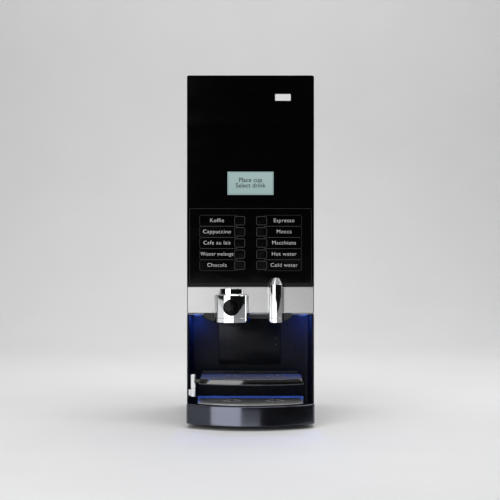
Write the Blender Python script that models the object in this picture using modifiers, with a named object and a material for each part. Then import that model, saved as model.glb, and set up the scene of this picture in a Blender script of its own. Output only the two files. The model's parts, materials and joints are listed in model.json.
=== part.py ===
"""Table-top hot drinks machine: cabinet, door with spouts, cup stand, drip tray and the works inside.

Metres, +Z up. The front faces -Y, +X is to the right, and the origin lies under the middle of the machine.
"""

import math

import bmesh
import bpy
from mathutils import Euler, Matrix, Vector

# --- Driving dimensions -------------------------------------------------------------------------
WIDTH = 0.335
HEIGHT = 0.924
CABINET_DEPTH = 0.430  # door front to back panel
TRAY_REACH = 0.095  # drip tray nose ahead of the door front

GAP = 0.0003  # between pieces that touch
RUN = 0.001  # between pieces that slide or swing past each other
SHEET = 0.0015  # outer panels
FRAME_SHEET = 0.002  # inner frame

FOOT_HEIGHT = 0.010
FOOT_RADIUS = 0.016
FOOT_INSET = 0.030
PAN_SETBACK = 0.006  # pan front behind the door front
PAN_FLANGE = 0.030

DOOR_BOTTOM = 0.2966
DOOR_DEPTH = 0.0425
DOOR_GAP = 0.0015
DOOR_SKIN = 0.0045
DOOR_WALL = 0.0025
DOOR_SEAM = 0.0025  # below the door and above the cheeks of the niche
CORNER = 0.005  # rounding of the top corners
COVER_DROP = 0.019  # sides of the top cover

HINGE_INSET_X = 0.0065
HINGE_INSET_Y = 0.0335
PIN_RADIUS = 0.003
PIN_LENGTH = 0.016
TAB_REACH = 0.008
TAB_SIDES = (-0.0045, 0.0105)  # tab edges left and right of the pin
TAB_ROOT = 0.020

BAND_HEIGHT = 0.0697
BAND_INSET = 0.002
BAND_SHEET = 0.0012
BAND_BEND = 0.002

KEYPAD_BOTTOM = 0.0768  # above the door's bottom edge
KEYPAD_HEIGHT = 0.2005
KEYPAD_INSET = 0.006
KEYPAD_SHEET = 0.003
KEYPAD_LEDGE = 0.011  # the shell's lap behind the keypad's edges
BUTTON_WIDTH = 0.0290
BUTTON_HEIGHT = 0.0240
BUTTON_COLUMNS = (-0.0287, 0.0294)
BUTTON_PITCH = 0.02942
BUTTON_ROWS = 5
BUTTON_TOP_ROW = 0.2443  # above the door's bottom edge
BUTTON_PROUD = 0.0008
BUTTON_TRAVEL = 0.0015
BUTTON_LIP = 0.0015
BUTTON_CORNER = 0.002
KEYPAD_RIB = 0.008

DISPLAY_WIDTH = 0.121
DISPLAY_HEIGHT = 0.061
DISPLAY_CENTRE = 0.3429  # above the door's bottom edge
DISPLAY_FLANGE = 0.006
DISPLAY_DEPTH = 0.012
DISPLAY_CORNER = 0.0015

COFFEE_X = -0.050
COFFEE_BEHIND = 0.027  # spout axis behind the door front
COFFEE_RADIUS = 0.0525
CAP_RADIUS = 0.0415
CAP_TOP = 0.0654  # above the door's bottom edge
SHOULDER = 0.0504
WATER_X = 0.067
WATER_RADIUS = 0.0208
WATER_TIP_RADIUS = 0.0105
WATER_TOP = 0.0932
WATER_CONE = 0.016
SPOUT_DROP = 0.0239  # below the door's bottom edge
SPOUT_WALL = 0.0015
SPOUT_EDGE = 0.0012
SHOULDER_BEND = 0.005
GROOVE_DROP = 0.0120
GROOVE = 0.0008
WING_WIDTH = 0.020
WING_DROP = 0.0211
WING_SLOPE = 0.0105
WING_DEPTH = 0.032
COVER_LAP = 0.010  # the water spout cover's rear edge behind the door front
WING_FLATS = (0.014, 0.008)  # flat undersides of the left and right wing

NICHE_DEPTH = 0.150
NICHE_WALL = 0.0022
NICHE_CORNER = 0.012
SPLASH_LEFT = -0.088
SPLASH_RIGHT = 0.083
SPLASH_BOTTOM = 0.1475
SPLASH_THICK = 0.0057
LIGHT_SIDE = 0.0085  # light bar to the niche walls
LIGHT_HEIGHT = 0.0065
LIGHT_DEPTH = 0.012
LIGHT_BEHIND = 0.110  # behind the door front
PIPE_RISE_X = 0.030
PIPE_FALL_BEHIND = 0.0625

POST_FROM_WALL = 0.0127  # post axis to the niche wall
POST_RADIUS = 0.0045
SLEEVE_RADIUS = 0.0075
SLEEVE_BOTTOM = 0.0996
SLEEVE_TOP = 0.1365
SLEEVE_CAP = 0.0025
POST_FOOT = 0.0776
STAND_FROM_POST = 0.0150  # left edge to the post axis
STAND_FROM_WALL = 0.0235  # right edge to the niche wall
STAND_TOP = 0.1270
STAND_HEIGHT = 0.016
STAND_BACK = 0.087  # behind the door front
STAND_SIDE = 0.0234  # straight sides end this far ahead of the door front
STAND_NOSE = 0.053
STAND_RAIL = 0.0092
RAIL_THICK = 0.0033
RAIL_SLOPE = 0.004
RAIL_END = 0.008
STAND_WALL = 0.002
STAND_RIM = 0.0045
STAND_NOSING = 0.003  # rounding of the stand's rim
ARM_REACH = 0.010  # arm behind the post's axis
LUG_REACH = 0.014
GRID_THICK = 0.002
GRID_LEDGE = 0.004
GRID_PLAY = 0.0005

TRAY_TOP = 0.062
TRAY_SIDE = 0.040  # straight sides end this far ahead of the door front
TRAY_CORNER = 0.014
TRAY_WALL = 0.0025
TRAY_NOSING = 0.0012
TRAY_SEAT = 0.0015  # depth of the grid's seat
GRID_FROM_WALL = 0.018  # grid's rear corners to the niche walls
GRID_FROM_SIDE = 0.0295  # grid's front corners to the sides of the machine
GRID_BACK = 0.125
GRID_SIDE = 0.0225
GRID_NOSE = 0.061
GRID_CORNER = 0.010
CUP_RING = 0.0215
CUP_SLOT = 0.005
CUP_SLOTS = 8
CUP_BEHIND = 0.028  # cup centres behind the door front

SHELF = 0.320  # canister shelf above the niche ceiling
BULKHEAD_BEHIND = 0.2955  # behind the door front
MIXER_BEHIND = 0.1375
SHELF_BEHIND = 0.0725
FRAME_INSET = 0.0075
FRAME_LAP = 0.0005  # how far joined sheets run into each other
CANISTERS = 3
CANISTER_ROOM = 0.0205  # the sides of the machine to the row of canisters
CANISTER_SPACE = 0.004  # between canisters
CANISTER_WALL = 0.0025
CANISTER_FRONT = 0.0675  # behind the door front
CANISTER_BACK = 0.2825
TROUGH_SLOPE = 0.022  # the trough's sloping sides above the auger axis
LID_ROOM = 0.062
LID_THICK = 0.003
LID_PLUG = 0.008
LID_PLAY = 0.0006
AUGER_RISE = 0.021  # auger axis above the shelf
AUGER_RADIUS = 0.0135
AUGER_WIRE = 0.0022
AUGER_TURNS = 5
AUGER_SHAFT = 0.004
CHUTE_RADIUS = 0.010
CHUTE_SPREAD = 0.019  # of the two chutes over one bowl, each side of its axis
CHUTE_REACH = 0.011  # ahead of the canister
CHUTE_DROP = 0.045
CHUTE_SLANT = 0.030
AUGER_MOTOR = (0.0165, 0.040)  # radius and length

BOWL_BEHIND = 0.0825
BOWL_RADIUS = 0.036
BOWL_WALL = 0.002
CHAMBER_RADIUS = 0.020
CHAMBER_RISE = 0.112  # whipper axis above the niche ceiling
BOWL_HEIGHT = 0.085  # rim above the whipper axis
OUTLET_RADIUS = 0.008
WHIPPER_RADIUS = 0.013
WHIPPER_SHAFT = 0.003
WHIPPER_BLADE = 0.007
WHIPPER_MOTOR = (0.018, 0.055)  # radius and length
INLET_LENGTH = 0.0145  # of the nozzle's sockets
NOZZLE_DEPTH = 0.0132
NOZZLE_HALF = 0.012
NOZZLE_END = 0.010
NOZZLE_ARM = 0.018
TIP_RADIUS = 0.005
TIP_SPACING = 0.018

BOILER_RADIUS = 0.075
BOILER_HEIGHT = 0.238
BOILER_X = -0.010
BOILER_BEHIND = 0.2725
PIPE_RADIUS = 0.005
PIPE_BEND = 0.012
PIPE_TIP_BEND = 0.0065
PIPE_HEIGHT = 0.018  # above the niche ceiling
PIPE_SLACK = 0.0008
INLET_SLACK = 0.0035

SERVICE_TOP = 0.1147
SERVICE_RECESS = 0.028
VENT_STARTS = (-0.075, 0.015)
VENT_LENGTH = 0.060
VENT_WIDTH = 0.004
VENT_DROP = 0.124  # lowest row below the top
VENT_PITCH = 0.012
VENT_COUNT = 4
INLET_X = -0.090
INLET_RADIUS = 0.013
INLET_HEIGHT = 0.060
INLET_FLANGE = 0.018
SOCKET_X = 0.090
SOCKET_WIDTH = 0.024
SOCKET_HEIGHT = 0.016
SOCKET_DEPTH = 0.016
SWITCH_X = 0.046
SWITCH_WIDTH = 0.019
SWITCH_HEIGHT = 0.024
SWITCH_TILT = math.radians(7)
SWITCH_WELL = 0.012
MODULE_RIM = 0.004
MODULE_DEPTH = 0.028
MODULE_FLANGE = 0.007
CONTROL_SIDE = 0.040  # control box to the frame's edges
CONTROL_DEPTH = 0.075
CONTROL_LEVELS = (0.040, 0.250)  # above the niche ceiling

LOCK_RADIUS = 0.009
LOCK_HEIGHT = 0.330  # above the door's bottom edge
LOCK_BEHIND = 0.022  # barrel axis behind the door front
LOCK_LENGTH = 0.020
CAM_LENGTH = 0.030
CAM_HALF = 0.006

# --- Levels and planes that follow ---------------------------------------------------------------
HALF = WIDTH / 2
BACK_Y = (CABINET_DEPTH + TRAY_REACH) / 2
FRONT_Y = BACK_Y - CABINET_DEPTH
DOOR_REAR_Y = FRONT_Y + DOOR_DEPTH
CABINET_FRONT_Y = DOOR_REAR_Y + DOOR_GAP
SHELL_FRONT_Y = FRONT_Y + DOOR_SKIN + GAP
SHELL_TOP = HEIGHT - 0.004
HINGE = Vector((-HALF + HINGE_INSET_X, FRONT_Y + HINGE_INSET_Y, 0))
FLOOR_Z = FOOT_HEIGHT + SHEET
CEILING_Z = DOOR_BOTTOM - DOOR_SEAM  # top of the inner frame's floor plate
CEILING_UNDER = CEILING_Z - 0.0025
INNER_HALF = HALF - SHEET - GAP
NICHE_BACK_Y = FRONT_Y + NICHE_DEPTH
NICHE_HALF = INNER_HALF - NICHE_WALL
BAND_TOP = DOOR_BOTTOM + GAP + BAND_HEIGHT
COFFEE_Y = FRONT_Y + COFFEE_BEHIND
SERVICE_Y = BACK_Y - SERVICE_RECESS  # outer face of the service plate
BULKHEAD_Y = FRONT_Y + BULKHEAD_BEHIND
MIXER_Y = FRONT_Y + MIXER_BEHIND
SHELF_Z = CEILING_Z + SHELF
BOILER_Y = FRONT_Y + BOILER_BEHIND
BOWL_Y = FRONT_Y + BOWL_BEHIND
CHAMBER_Z = CEILING_Z + CHAMBER_RISE
POST_X = -NICHE_HALF + POST_FROM_WALL
POST_Y = FRONT_Y
STAND_LEFT = POST_X + STAND_FROM_POST
STAND_RIGHT = NICHE_HALF - STAND_FROM_WALL
CUP_PLACES = (COFFEE_X, WATER_X - 0.002)
GRID_BACK_HALF = NICHE_HALF - GRID_FROM_WALL
GRID_FRONT_HALF = HALF - GRID_FROM_SIDE
AUGER_Z = SHELF_Z + GAP + AUGER_RISE
NOZZLE_BOTTOM = DOOR_BOTTOM - SPOUT_DROP + 0.0035
LOCK_Y = FRONT_Y + LOCK_BEHIND
LOCK_Z = DOOR_BOTTOM + LOCK_HEIGHT
CANISTER_PITCH = (WIDTH - 2 * CANISTER_ROOM) / CANISTERS
CANISTER_WIDTH = CANISTER_PITCH - CANISTER_SPACE
CANISTER_PLACES = (-CANISTER_PITCH, 0.0, CANISTER_PITCH)
BOWL_PLACES = (-CANISTER_PITCH, CANISTER_PITCH / 2)
CHUTE_PLACES = (BOWL_PLACES[0], BOWL_PLACES[1] - CHUTE_SPREAD, BOWL_PLACES[1] + CHUTE_SPREAD)
PIPE_RISE = (PIPE_RISE_X, BOILER_Y)
PIPE_FALL_Y = FRONT_Y + PIPE_FALL_BEHIND
TAB_X = (HINGE.x + TAB_SIDES[0], HINGE.x + TAB_SIDES[1])
TAB_Y = (HINGE.y - TAB_REACH, CABINET_FRONT_Y + TAB_ROOT)
FRAME_HALF = HALF - FRAME_INSET
INLET_TOP = CEILING_UNDER - GAP - 0.006 + INLET_LENGTH  # rims of the nozzle's sockets
MODULE_X = (SWITCH_X - SWITCH_WIDTH / 2 - MODULE_RIM, SOCKET_X + SOCKET_WIDTH / 2 + MODULE_RIM)
MODULE_HALF = SWITCH_HEIGHT / 2 + RUN + MODULE_RIM
LONG = 0.5  # longer than any wall that a cutter passes through


# --- Scene, materials and shape helpers -----------------------------------------------------------
def clear_scene():
    for obj in list(bpy.data.objects):
        bpy.data.objects.remove(obj, do_unlink=True)


def new_collection(name):
    collection = bpy.data.collections.new(name)
    bpy.context.scene.collection.children.link(collection)
    return collection


clear_scene()
PARTS = new_collection("hot_drinks_machine")
CUTTERS = new_collection("cutters")


def finish_material(name, colour, roughness, metallic=0.0):
    material = bpy.data.materials.new(name)
    material.use_nodes = True
    shader = material.node_tree.nodes["Principled BSDF"]
    shader.inputs["Base Color"].default_value = (*colour, 1.0)
    shader.inputs["Roughness"].default_value = roughness
    shader.inputs["Metallic"].default_value = metallic
    return material


GLOSS_BLACK = finish_material("gloss_black", (0.004, 0.004, 0.005), 0.08)
SATIN_BLACK = finish_material("satin_black", (0.012, 0.012, 0.014), 0.45)
PAINTED_BLACK = finish_material("painted_black", (0.015, 0.015, 0.016), 0.5)
STEEL = finish_material("brushed_steel", (0.62, 0.62, 0.63), 0.3, 1.0)
CHROME = finish_material("chrome", (0.85, 0.85, 0.87), 0.05, 1.0)
ZINC = finish_material("zinc_sheet", (0.45, 0.46, 0.47), 0.45, 1.0)
SCREEN = finish_material("screen", (0.35, 0.51, 0.50), 0.2)
LIGHT = finish_material("light_bar", (0.5, 0.6, 1.0), 0.4)
CLEAR = finish_material("canister_plastic", (0.55, 0.56, 0.57), 0.25)
CREAM = finish_material("bowl_plastic", (0.72, 0.70, 0.66), 0.4)
DARK_PLASTIC = finish_material("dark_plastic", (0.03, 0.03, 0.035), 0.5)
RUBBER = finish_material("rubber", (0.02, 0.02, 0.02), 0.8)
JACKET = finish_material("boiler_jacket", (0.08, 0.08, 0.085), 0.85)


def place(name, mesh, material=None):
    """An object for a mesh: a part where it has a material, or else a cutter."""
    obj = bpy.data.objects.new(name, mesh)
    if material is None:
        CUTTERS.objects.link(obj)
        obj.hide_render = True
        obj.display_type = "WIRE"
    else:
        PARTS.objects.link(obj)
        mesh.materials.append(material)
    return obj


def box(name, xs, ys, zs, material=None):
    bm = bmesh.new()
    bmesh.ops.create_cube(bm, size=1.0)
    low, high = Vector((xs[0], ys[0], zs[0])), Vector((xs[1], ys[1], zs[1]))
    bmesh.ops.scale(bm, vec=high - low, verts=bm.verts)
    mesh = bpy.data.meshes.new(name)
    bm.to_mesh(mesh)
    bm.free()
    obj = place(name, mesh, material)
    obj.location = (low + high) / 2
    return obj


TURNS = {"X": (math.pi / 2, 0, math.pi / 2), "Y": (math.pi / 2, 0, 0), "Z": (0, 0, 0)}


def plate(name, outlines, axis, start, end, material=None):
    """A flat plate normal to axis. The first outline is its edge and the others are holes.

    Outlines lie in (y, z) for X, (x, z) for Y and (x, y) for Z.
    """
    curve = bpy.data.curves.new(name, "CURVE")
    curve.dimensions = "2D"
    curve.fill_mode = "BOTH"
    curve.extrude = abs(end - start) / 2
    for outline in outlines:
        spline = curve.splines.new("POLY")
        spline.points.add(len(outline) - 1)
        for point, (u, v) in zip(spline.points, outline):
            point.co = (u, v, 0, 1)
        spline.use_cyclic_u = True
    guide = bpy.data.objects.new(name + "_outline", curve)
    CUTTERS.objects.link(guide)
    mesh = bpy.data.meshes.new_from_object(guide.evaluated_get(bpy.context.evaluated_depsgraph_get()))
    bpy.data.objects.remove(guide)
    mesh.name = name
    bm = bmesh.new()
    bm.from_mesh(mesh)
    bmesh.ops.remove_doubles(bm, verts=bm.verts, dist=1e-6)
    bmesh.ops.recalc_face_normals(bm, faces=bm.faces)
    bm.to_mesh(mesh)
    bm.free()
    obj = place(name, mesh, material)
    obj.rotation_euler = TURNS[axis]
    obj.location["XYZ".index(axis)] = (start + end) / 2
    return obj


def turned(name, profile, centre, material=None, axis="Z", steps=24):
    """A profile of (radius, height) points, from the top down the outer side, turned about axis."""
    mesh = bpy.data.meshes.new(name)
    bm = bmesh.new()
    points = [bm.verts.new((radius, 0, height)) for radius, height in profile]
    for first, second in zip(points, points[1:]):
        bm.edges.new((first, second))
    bm.to_mesh(mesh)
    bm.free()
    obj = place(name, mesh, material)
    screw = obj.modifiers.new("turn", "SCREW")
    screw.steps = steps
    screw.render_steps = steps
    screw.use_merge_vertices = True
    screw.merge_threshold = 1e-5
    obj.rotation_euler = {"Z": (0, 0, 0), "Y": (-math.pi / 2, 0, 0), "X": (0, math.pi / 2, 0)}[axis]
    obj.location = centre
    return obj


def rod(name, radius, centre, length, material=None, axis="Z", steps=16):
    """A cylinder that starts at centre and runs along axis."""
    profile = [(0, length), (radius, length), (radius, 0), (0, 0)]
    return turned(name, profile, centre, material, axis, steps)


def tube(name, points, radius, material=None, resolution=2):
    curve = bpy.data.curves.new(name, "CURVE")
    curve.dimensions = "3D"
    curve.bevel_depth = radius
    curve.bevel_resolution = resolution
    curve.use_fill_caps = True
    spline = curve.splines.new("POLY")
    spline.points.add(len(points) - 1)
    for point, place_of in zip(spline.points, points):
        point.co = (*place_of, 1)
    guide = bpy.data.objects.new(name + "_path", curve)
    CUTTERS.objects.link(guide)
    mesh = bpy.data.meshes.new_from_object(guide.evaluated_get(bpy.context.evaluated_depsgraph_get()))
    bpy.data.objects.remove(guide)
    mesh.name = name
    bm = bmesh.new()
    bm.from_mesh(mesh)
    bmesh.ops.remove_doubles(bm, verts=bm.verts, dist=1e-6)
    bmesh.ops.recalc_face_normals(bm, faces=bm.faces)
    bm.to_mesh(mesh)
    bm.free()
    return place(name, mesh, material)


def combine(obj, other, operation):
    modifier = obj.modifiers.new(other.name, "BOOLEAN")
    modifier.operation = operation
    modifier.solver = "EXACT"
    modifier.object = other


def cut(obj, *cutters):
    for cutter in cutters:
        combine(obj, cutter, "DIFFERENCE")


def join(obj, *others):
    for other in others:
        combine(obj, other, "UNION")


def soften(obj, width, segments=2):
    bevel = obj.modifiers.new("soften", "BEVEL")
    bevel.width = width
    bevel.segments = segments
    bevel.limit_method = "ANGLE"


def smooth(obj, angle=40):
    obj.data.shade_smooth()
    obj.data.set_sharp_from_angle(angle=math.radians(angle))


def carry(name, origin, *pieces):
    """An empty on a joint's axis, which its pieces hang on."""
    axis = bpy.data.objects.new(name, None)
    axis.location = origin
    axis.empty_display_size = 0.02
    PARTS.objects.link(axis)
    for piece in pieces:
        piece.parent = axis
        piece.matrix_parent_inverse = Matrix.Translation(origin).inverted()
    return axis


def arc(centre, radius, start, end, steps):
    """Points on an arc between two angles in degrees, both ends included."""
    angles = (math.radians(start + (end - start) * i / steps) for i in range(steps + 1))
    return [(centre[0] + radius * math.cos(a), centre[1] + radius * math.sin(a)) for a in angles]


def circle(centre, radius, steps=16):
    return arc(centre, radius, 0, 360, steps)[:-1]


def around(middle, reach):
    """The two ends of a span that reaches equally far both ways."""
    return (middle - reach, middle + reach)


def rectangle(us, vs):
    return [(us[0], vs[0]), (us[1], vs[0]), (us[1], vs[1]), (us[0], vs[1])]


def rounded(us, vs, radius, steps=4):
    corners = ((us[0], vs[0], 180), (us[1], vs[0], 270), (us[1], vs[1], 0), (us[0], vs[1], 90))
    points = []
    for u, v, start in corners:
        centre_u = u + radius if u == us[0] else u - radius
        centre_v = v + radius if v == vs[0] else v - radius
        points += arc((centre_u, centre_v), radius, start, start + 90, steps)
    return points


def bowed(half, back, side, nose, corner, steps=18, middle=0.0, back_half=None):
    """A plan outline with straight sides, rounded corners and a front that bows out to the nose.

    half is its half width at the front, and back_half at the back where that differs.
    """
    rise = side - nose
    radius = (half**2 + rise**2) / (2 * rise)
    centre_y = nose + radius
    fillet_x = half - corner
    fillet_y = centre_y - math.sqrt((radius - corner) ** 2 - fillet_x**2)
    meet = math.degrees(math.atan2(fillet_y - centre_y, fillet_x))
    front = arc((0, centre_y), radius, -180 - meet, meet, steps)
    right = arc((fillet_x, fillet_y), corner, meet, 0, 3)[1:]
    left = arc((-fillet_x, fillet_y), corner, -180, -180 - meet, 3)[:-1]
    back_half = back_half or half
    outline = left + front + right + [(back_half, back), (-back_half, back)]
    return [(middle + x, y) for x, y in outline]


def bent_path(corners, radius, steps=4):
    """Points along straight runs with each corner rounded."""
    path = [Vector(corners[0])]
    for before, corner, after in zip(corners, corners[1:], corners[2:]):
        corner = Vector(corner)
        back = (Vector(before) - corner).normalized()
        ahead = (Vector(after) - corner).normalized()
        half_angle = back.angle(ahead) / 2
        if half_angle > math.radians(89):
            path.append(corner)
            continue
        reach = radius / math.tan(half_angle)
        centre = corner + (back + ahead).normalized() * radius / math.sin(half_angle)
        first, last = corner + back * reach - centre, corner + ahead * reach - centre
        swing = first.angle(last)
        for i in range(steps + 1):
            t = i / steps
            blend = first * math.sin((1 - t) * swing) + last * math.sin(t * swing)
            path.append(centre + blend / math.sin(swing))
    return path + [Vector(corners[-1])]


# --- Cabinet --------------------------------------------------------------------------------------
def make_base_pan():
    pan_y = (FRONT_Y + PAN_SETBACK, BACK_Y - GAP)
    pan = box("base_pan", (-INNER_HALF, INNER_HALF), pan_y, (FOOT_HEIGHT, FLOOR_Z), ZINC)
    low = FOOT_HEIGHT + FRAME_LAP
    inlet_hole = circle((INLET_X, INLET_HEIGHT), INLET_RADIUS + GAP)
    module_x = (MODULE_X[0] - GAP, MODULE_X[1] + GAP)
    module_hole = rectangle(module_x, around(INLET_HEIGHT, MODULE_HALF + GAP))
    wall = rectangle((-INNER_HALF, INNER_HALF), (low, SERVICE_TOP))
    join(pan, plate("service_plate", [wall, inlet_hole, module_hole], "Y", SERVICE_Y - SHEET, SERVICE_Y))
    flange_y = (NICHE_BACK_Y + NICHE_WALL + NICHE_WALL, SERVICE_Y - SHEET / 2)
    for side in (-1, 1):
        flange_x = sorted((side * INNER_HALF, side * (INNER_HALF - SHEET)))
        join(pan, box("pan_flange", flange_x, flange_y, (low, PAN_FLANGE)))


def make_side_panels():
    lower_top = DOOR_BOTTOM - DOOR_SEAM
    top = HEIGHT - COVER_DROP - GAP
    outline = [
        (FRONT_Y, FOOT_HEIGHT),
        (BACK_Y, FOOT_HEIGHT),
        (BACK_Y, top),
        (CABINET_FRONT_Y, top),
        (CABINET_FRONT_Y, lower_top),
        (FRONT_Y, lower_top),
    ]
    plate("side_panel_left", [outline], "X", -HALF, -HALF + SHEET, PAINTED_BLACK)
    plate("side_panel_right", [outline], "X", HALF - SHEET, HALF, PAINTED_BLACK)


def hinge_tab():
    """Outlines of a tab that reaches forward round a hinge pin."""
    return [rectangle(TAB_X, TAB_Y), circle(HINGE.xy, PIN_RADIUS + GAP, 12)]


def make_top_cover():
    inner = CORNER - SHEET
    right = arc((HALF - CORNER, HEIGHT - CORNER), CORNER, 0, 90, 4)
    left = arc((-HALF + CORNER, HEIGHT - CORNER), CORNER, 90, 180, 4)
    inner_left = arc((-HALF + CORNER, HEIGHT - CORNER), inner, 180, 90, 4)
    inner_right = arc((HALF - CORNER, HEIGHT - CORNER), inner, 90, 0, 4)
    foot = HEIGHT - COVER_DROP
    outline = [(HALF, foot), *right, *left, (-HALF, foot), (-HALF + SHEET, foot), *inner_left, *inner_right]
    outline.append((HALF - SHEET, foot))
    cover = plate("top_cover", [outline], "Y", CABINET_FRONT_Y, BACK_Y, PAINTED_BLACK)
    join(cover, plate("upper_tab", hinge_tab(), "Z", HEIGHT - 2 * SHEET, HEIGHT - FRAME_LAP))


def make_back_panel():
    half = INNER_HALF
    low, high = SERVICE_TOP + GAP, HEIGHT - SHEET - GAP
    corner = CORNER - SHEET
    edge = [(-half, low), (half, low), *arc((half - corner, high - corner), corner, 0, 90, 3)]
    edge += arc((-half + corner, high - corner), corner, 90, 180, 3)
    rows = [HEIGHT - VENT_DROP + VENT_PITCH * i for i in range(VENT_COUNT)]
    slots = [rounded_slot(x, z) for x in VENT_STARTS for z in rows]
    panel = plate("back_panel", [edge, *slots], "Y", BACK_Y - SHEET, BACK_Y, PAINTED_BLACK)
    roof_y = (SERVICE_Y + GAP, BACK_Y - SHEET / 2)
    join(panel, box("recess_roof", (-half + GAP, half - GAP), roof_y, (low + GAP, low + SHEET)))


def rounded_slot(x, z):
    """A vent slot from its lower left corner."""
    return rounded((x, x + VENT_LENGTH), (z, z + VENT_WIDTH), VENT_WIDTH / 2 - GAP / 3, 2)


def make_inner_frame():
    """The niche ceiling with the upright panels and the shelf that stand on it."""
    foot = CEILING_UNDER + FRAME_LAP
    ceiling_edge = rectangle((-INNER_HALF, INNER_HALF), (CABINET_FRONT_Y, BULKHEAD_Y + FRAME_SHEET))
    inlets = [circle((x, BOWL_Y), OUTLET_RADIUS + INLET_SLACK, 12) for x in BOWL_PLACES]
    pipe_places = (PIPE_RISE, (WATER_X, PIPE_FALL_Y))
    pipe_holes = [circle(place_of, PIPE_RADIUS + PIPE_SLACK, 12) for place_of in pipe_places]
    frame = plate("inner_frame", [ceiling_edge, *inlets, *pipe_holes], "Z", CEILING_UNDER, CEILING_Z, ZINC)
    tab = plate("lower_tab", hinge_tab(), "Z", CEILING_UNDER + GAP, CEILING_Z - GAP)
    shaft_holes = [circle((x, AUGER_Z), AUGER_SHAFT + RUN, 12) for x in CANISTER_PLACES]
    bulk_edge = rectangle((-FRAME_HALF, FRAME_HALF), (foot, HEIGHT - SHEET - GAP))
    bulk_y = (BULKHEAD_Y, BULKHEAD_Y + FRAME_SHEET - FRAME_LAP / 2)
    bulkhead = plate("bulkhead", [bulk_edge, *shaft_holes], "Y", *bulk_y)
    whipper_holes = [circle((x, CHAMBER_Z), WHIPPER_SHAFT + RUN, 12) for x in BOWL_PLACES]
    pipe_hole = circle((WATER_X, CEILING_Z + PIPE_HEIGHT), PIPE_RADIUS + PIPE_SLACK, 12)
    mixer_edge = rectangle((-FRAME_HALF, FRAME_HALF), (foot, SHELF_Z - FRAME_LAP))
    mixer = plate("mixer_panel", [mixer_edge, *whipper_holes, pipe_hole], "Y", MIXER_Y, MIXER_Y + FRAME_SHEET)
    shelf_x = (-FRAME_HALF + FRAME_LAP, FRAME_HALF - FRAME_LAP)
    shelf_y = (FRONT_Y + SHELF_BEHIND, BULKHEAD_Y + FRAME_SHEET / 2)
    shelf = box("canister_shelf", shelf_x, shelf_y, (SHELF_Z - FRAME_SHEET, SHELF_Z))
    join(frame, tab, bulkhead, mixer, shelf)


def make_feet():
    profile = [
        (0, FOOT_HEIGHT - GAP),
        (FOOT_RADIUS * 0.8, FOOT_HEIGHT - GAP),
        (FOOT_RADIUS, 0.0015),
        (FOOT_RADIUS - 0.0015, 0),
        (0, 0),
    ]
    for side, x in (("left", -HALF + FOOT_INSET), ("right", HALF - FOOT_INSET)):
        for end, y in (("front", FRONT_Y + FOOT_INSET), ("rear", BACK_Y - FOOT_INSET)):
            foot = turned(f"foot_{end}_{side}", profile, (x, y, 0), RUBBER, steps=20)
            smooth(foot)


def make_hinge_pins():
    profile = [(0, PIN_LENGTH), (PIN_RADIUS - 0.0005, PIN_LENGTH), (PIN_RADIUS, PIN_LENGTH - 0.0005)]
    profile += [(PIN_RADIUS, 0.0005), (PIN_RADIUS - 0.0005, 0), (0, 0)]
    top = turned("hinge_pin_top", profile, (HINGE.x, HINGE.y, HEIGHT - SHEET - PIN_LENGTH), STEEL, steps=12)
    bottom = turned("hinge_pin_bottom", profile, (HINGE.x, HINGE.y, CEILING_UNDER), STEEL, steps=12)
    smooth(top)
    smooth(bottom)


# --- Niche ----------------------------------------------------------------------------------------
def make_niche_liner():
    outer, inner = NICHE_CORNER + NICHE_WALL, NICHE_CORNER
    front = FRONT_Y + 0.0005
    centre_y = NICHE_BACK_Y - NICHE_CORNER
    right, left = NICHE_HALF - NICHE_CORNER, -NICHE_HALF + NICHE_CORNER
    outline = [(-INNER_HALF, front), (-NICHE_HALF, front)]
    outline += arc((left, centre_y), inner, 180, 90, 4)
    outline += arc((right, centre_y), inner, 90, 0, 4)
    outline += [(NICHE_HALF, front), (INNER_HALF, front)]
    outline += arc((right, centre_y), outer, 0, 90, 4)
    outline += arc((left, centre_y), outer, 90, 180, 4)
    plate("niche_liner", [outline], "Z", FLOOR_Z + GAP, CEILING_UNDER - GAP, SATIN_BLACK)


def make_splash_panel():
    back = NICHE_BACK_Y - GAP
    panel = box(
        "splash_panel",
        (SPLASH_LEFT, SPLASH_RIGHT),
        (back - SPLASH_THICK, back),
        (SPLASH_BOTTOM, CEILING_UNDER - 0.003),
        GLOSS_BLACK,
    )
    soften(panel, 0.0012)


def make_light_bar():
    y = FRONT_Y + LIGHT_BEHIND
    top = CEILING_UNDER - GAP
    half = NICHE_HALF - LIGHT_SIDE
    bar = box("light_bar", (-half, half), (y, y + LIGHT_DEPTH), (top - LIGHT_HEIGHT, top), LIGHT)
    soften(bar, 0.001, 1)


def make_coffee_nozzle():
    """A manifold under the niche ceiling, with an arm that reaches forward into the spout cover."""
    top = CEILING_UNDER - GAP
    bottom = top - NOZZLE_DEPTH
    ends = (BOWL_PLACES[0] - NOZZLE_END, BOWL_PLACES[1] + NOZZLE_END)
    nozzle = box("coffee_nozzle", ends, around(BOWL_Y, NOZZLE_HALF), (bottom, top), DARK_PLASTIC)
    arm_y = (COFFEE_Y - NOZZLE_ARM, BOWL_Y)
    arm_z = (bottom + FRAME_LAP, top - FRAME_LAP)
    join(nozzle, box("nozzle_arm", around(COFFEE_X, NOZZLE_ARM), arm_y, arm_z))
    for x in BOWL_PLACES:
        join(nozzle, rod("nozzle_inlet", OUTLET_RADIUS, (x, BOWL_Y, INLET_TOP - INLET_LENGTH), INLET_LENGTH))
    tip_y = COFFEE_Y - TIP_RADIUS - RUN
    for x in around(COFFEE_X, TIP_SPACING / 2):
        tip_length = bottom + TIP_RADIUS - NOZZLE_BOTTOM
        tip = rod("nozzle_tip", TIP_RADIUS, (x, tip_y, NOZZLE_BOTTOM), tip_length, steps=12)
        bore = rod("nozzle_bore", TIP_RADIUS * 0.64, (x, tip_y, NOZZLE_BOTTOM - 0.001), 0.008, steps=12)
        join(nozzle, tip)
        cut(nozzle, bore)


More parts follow.
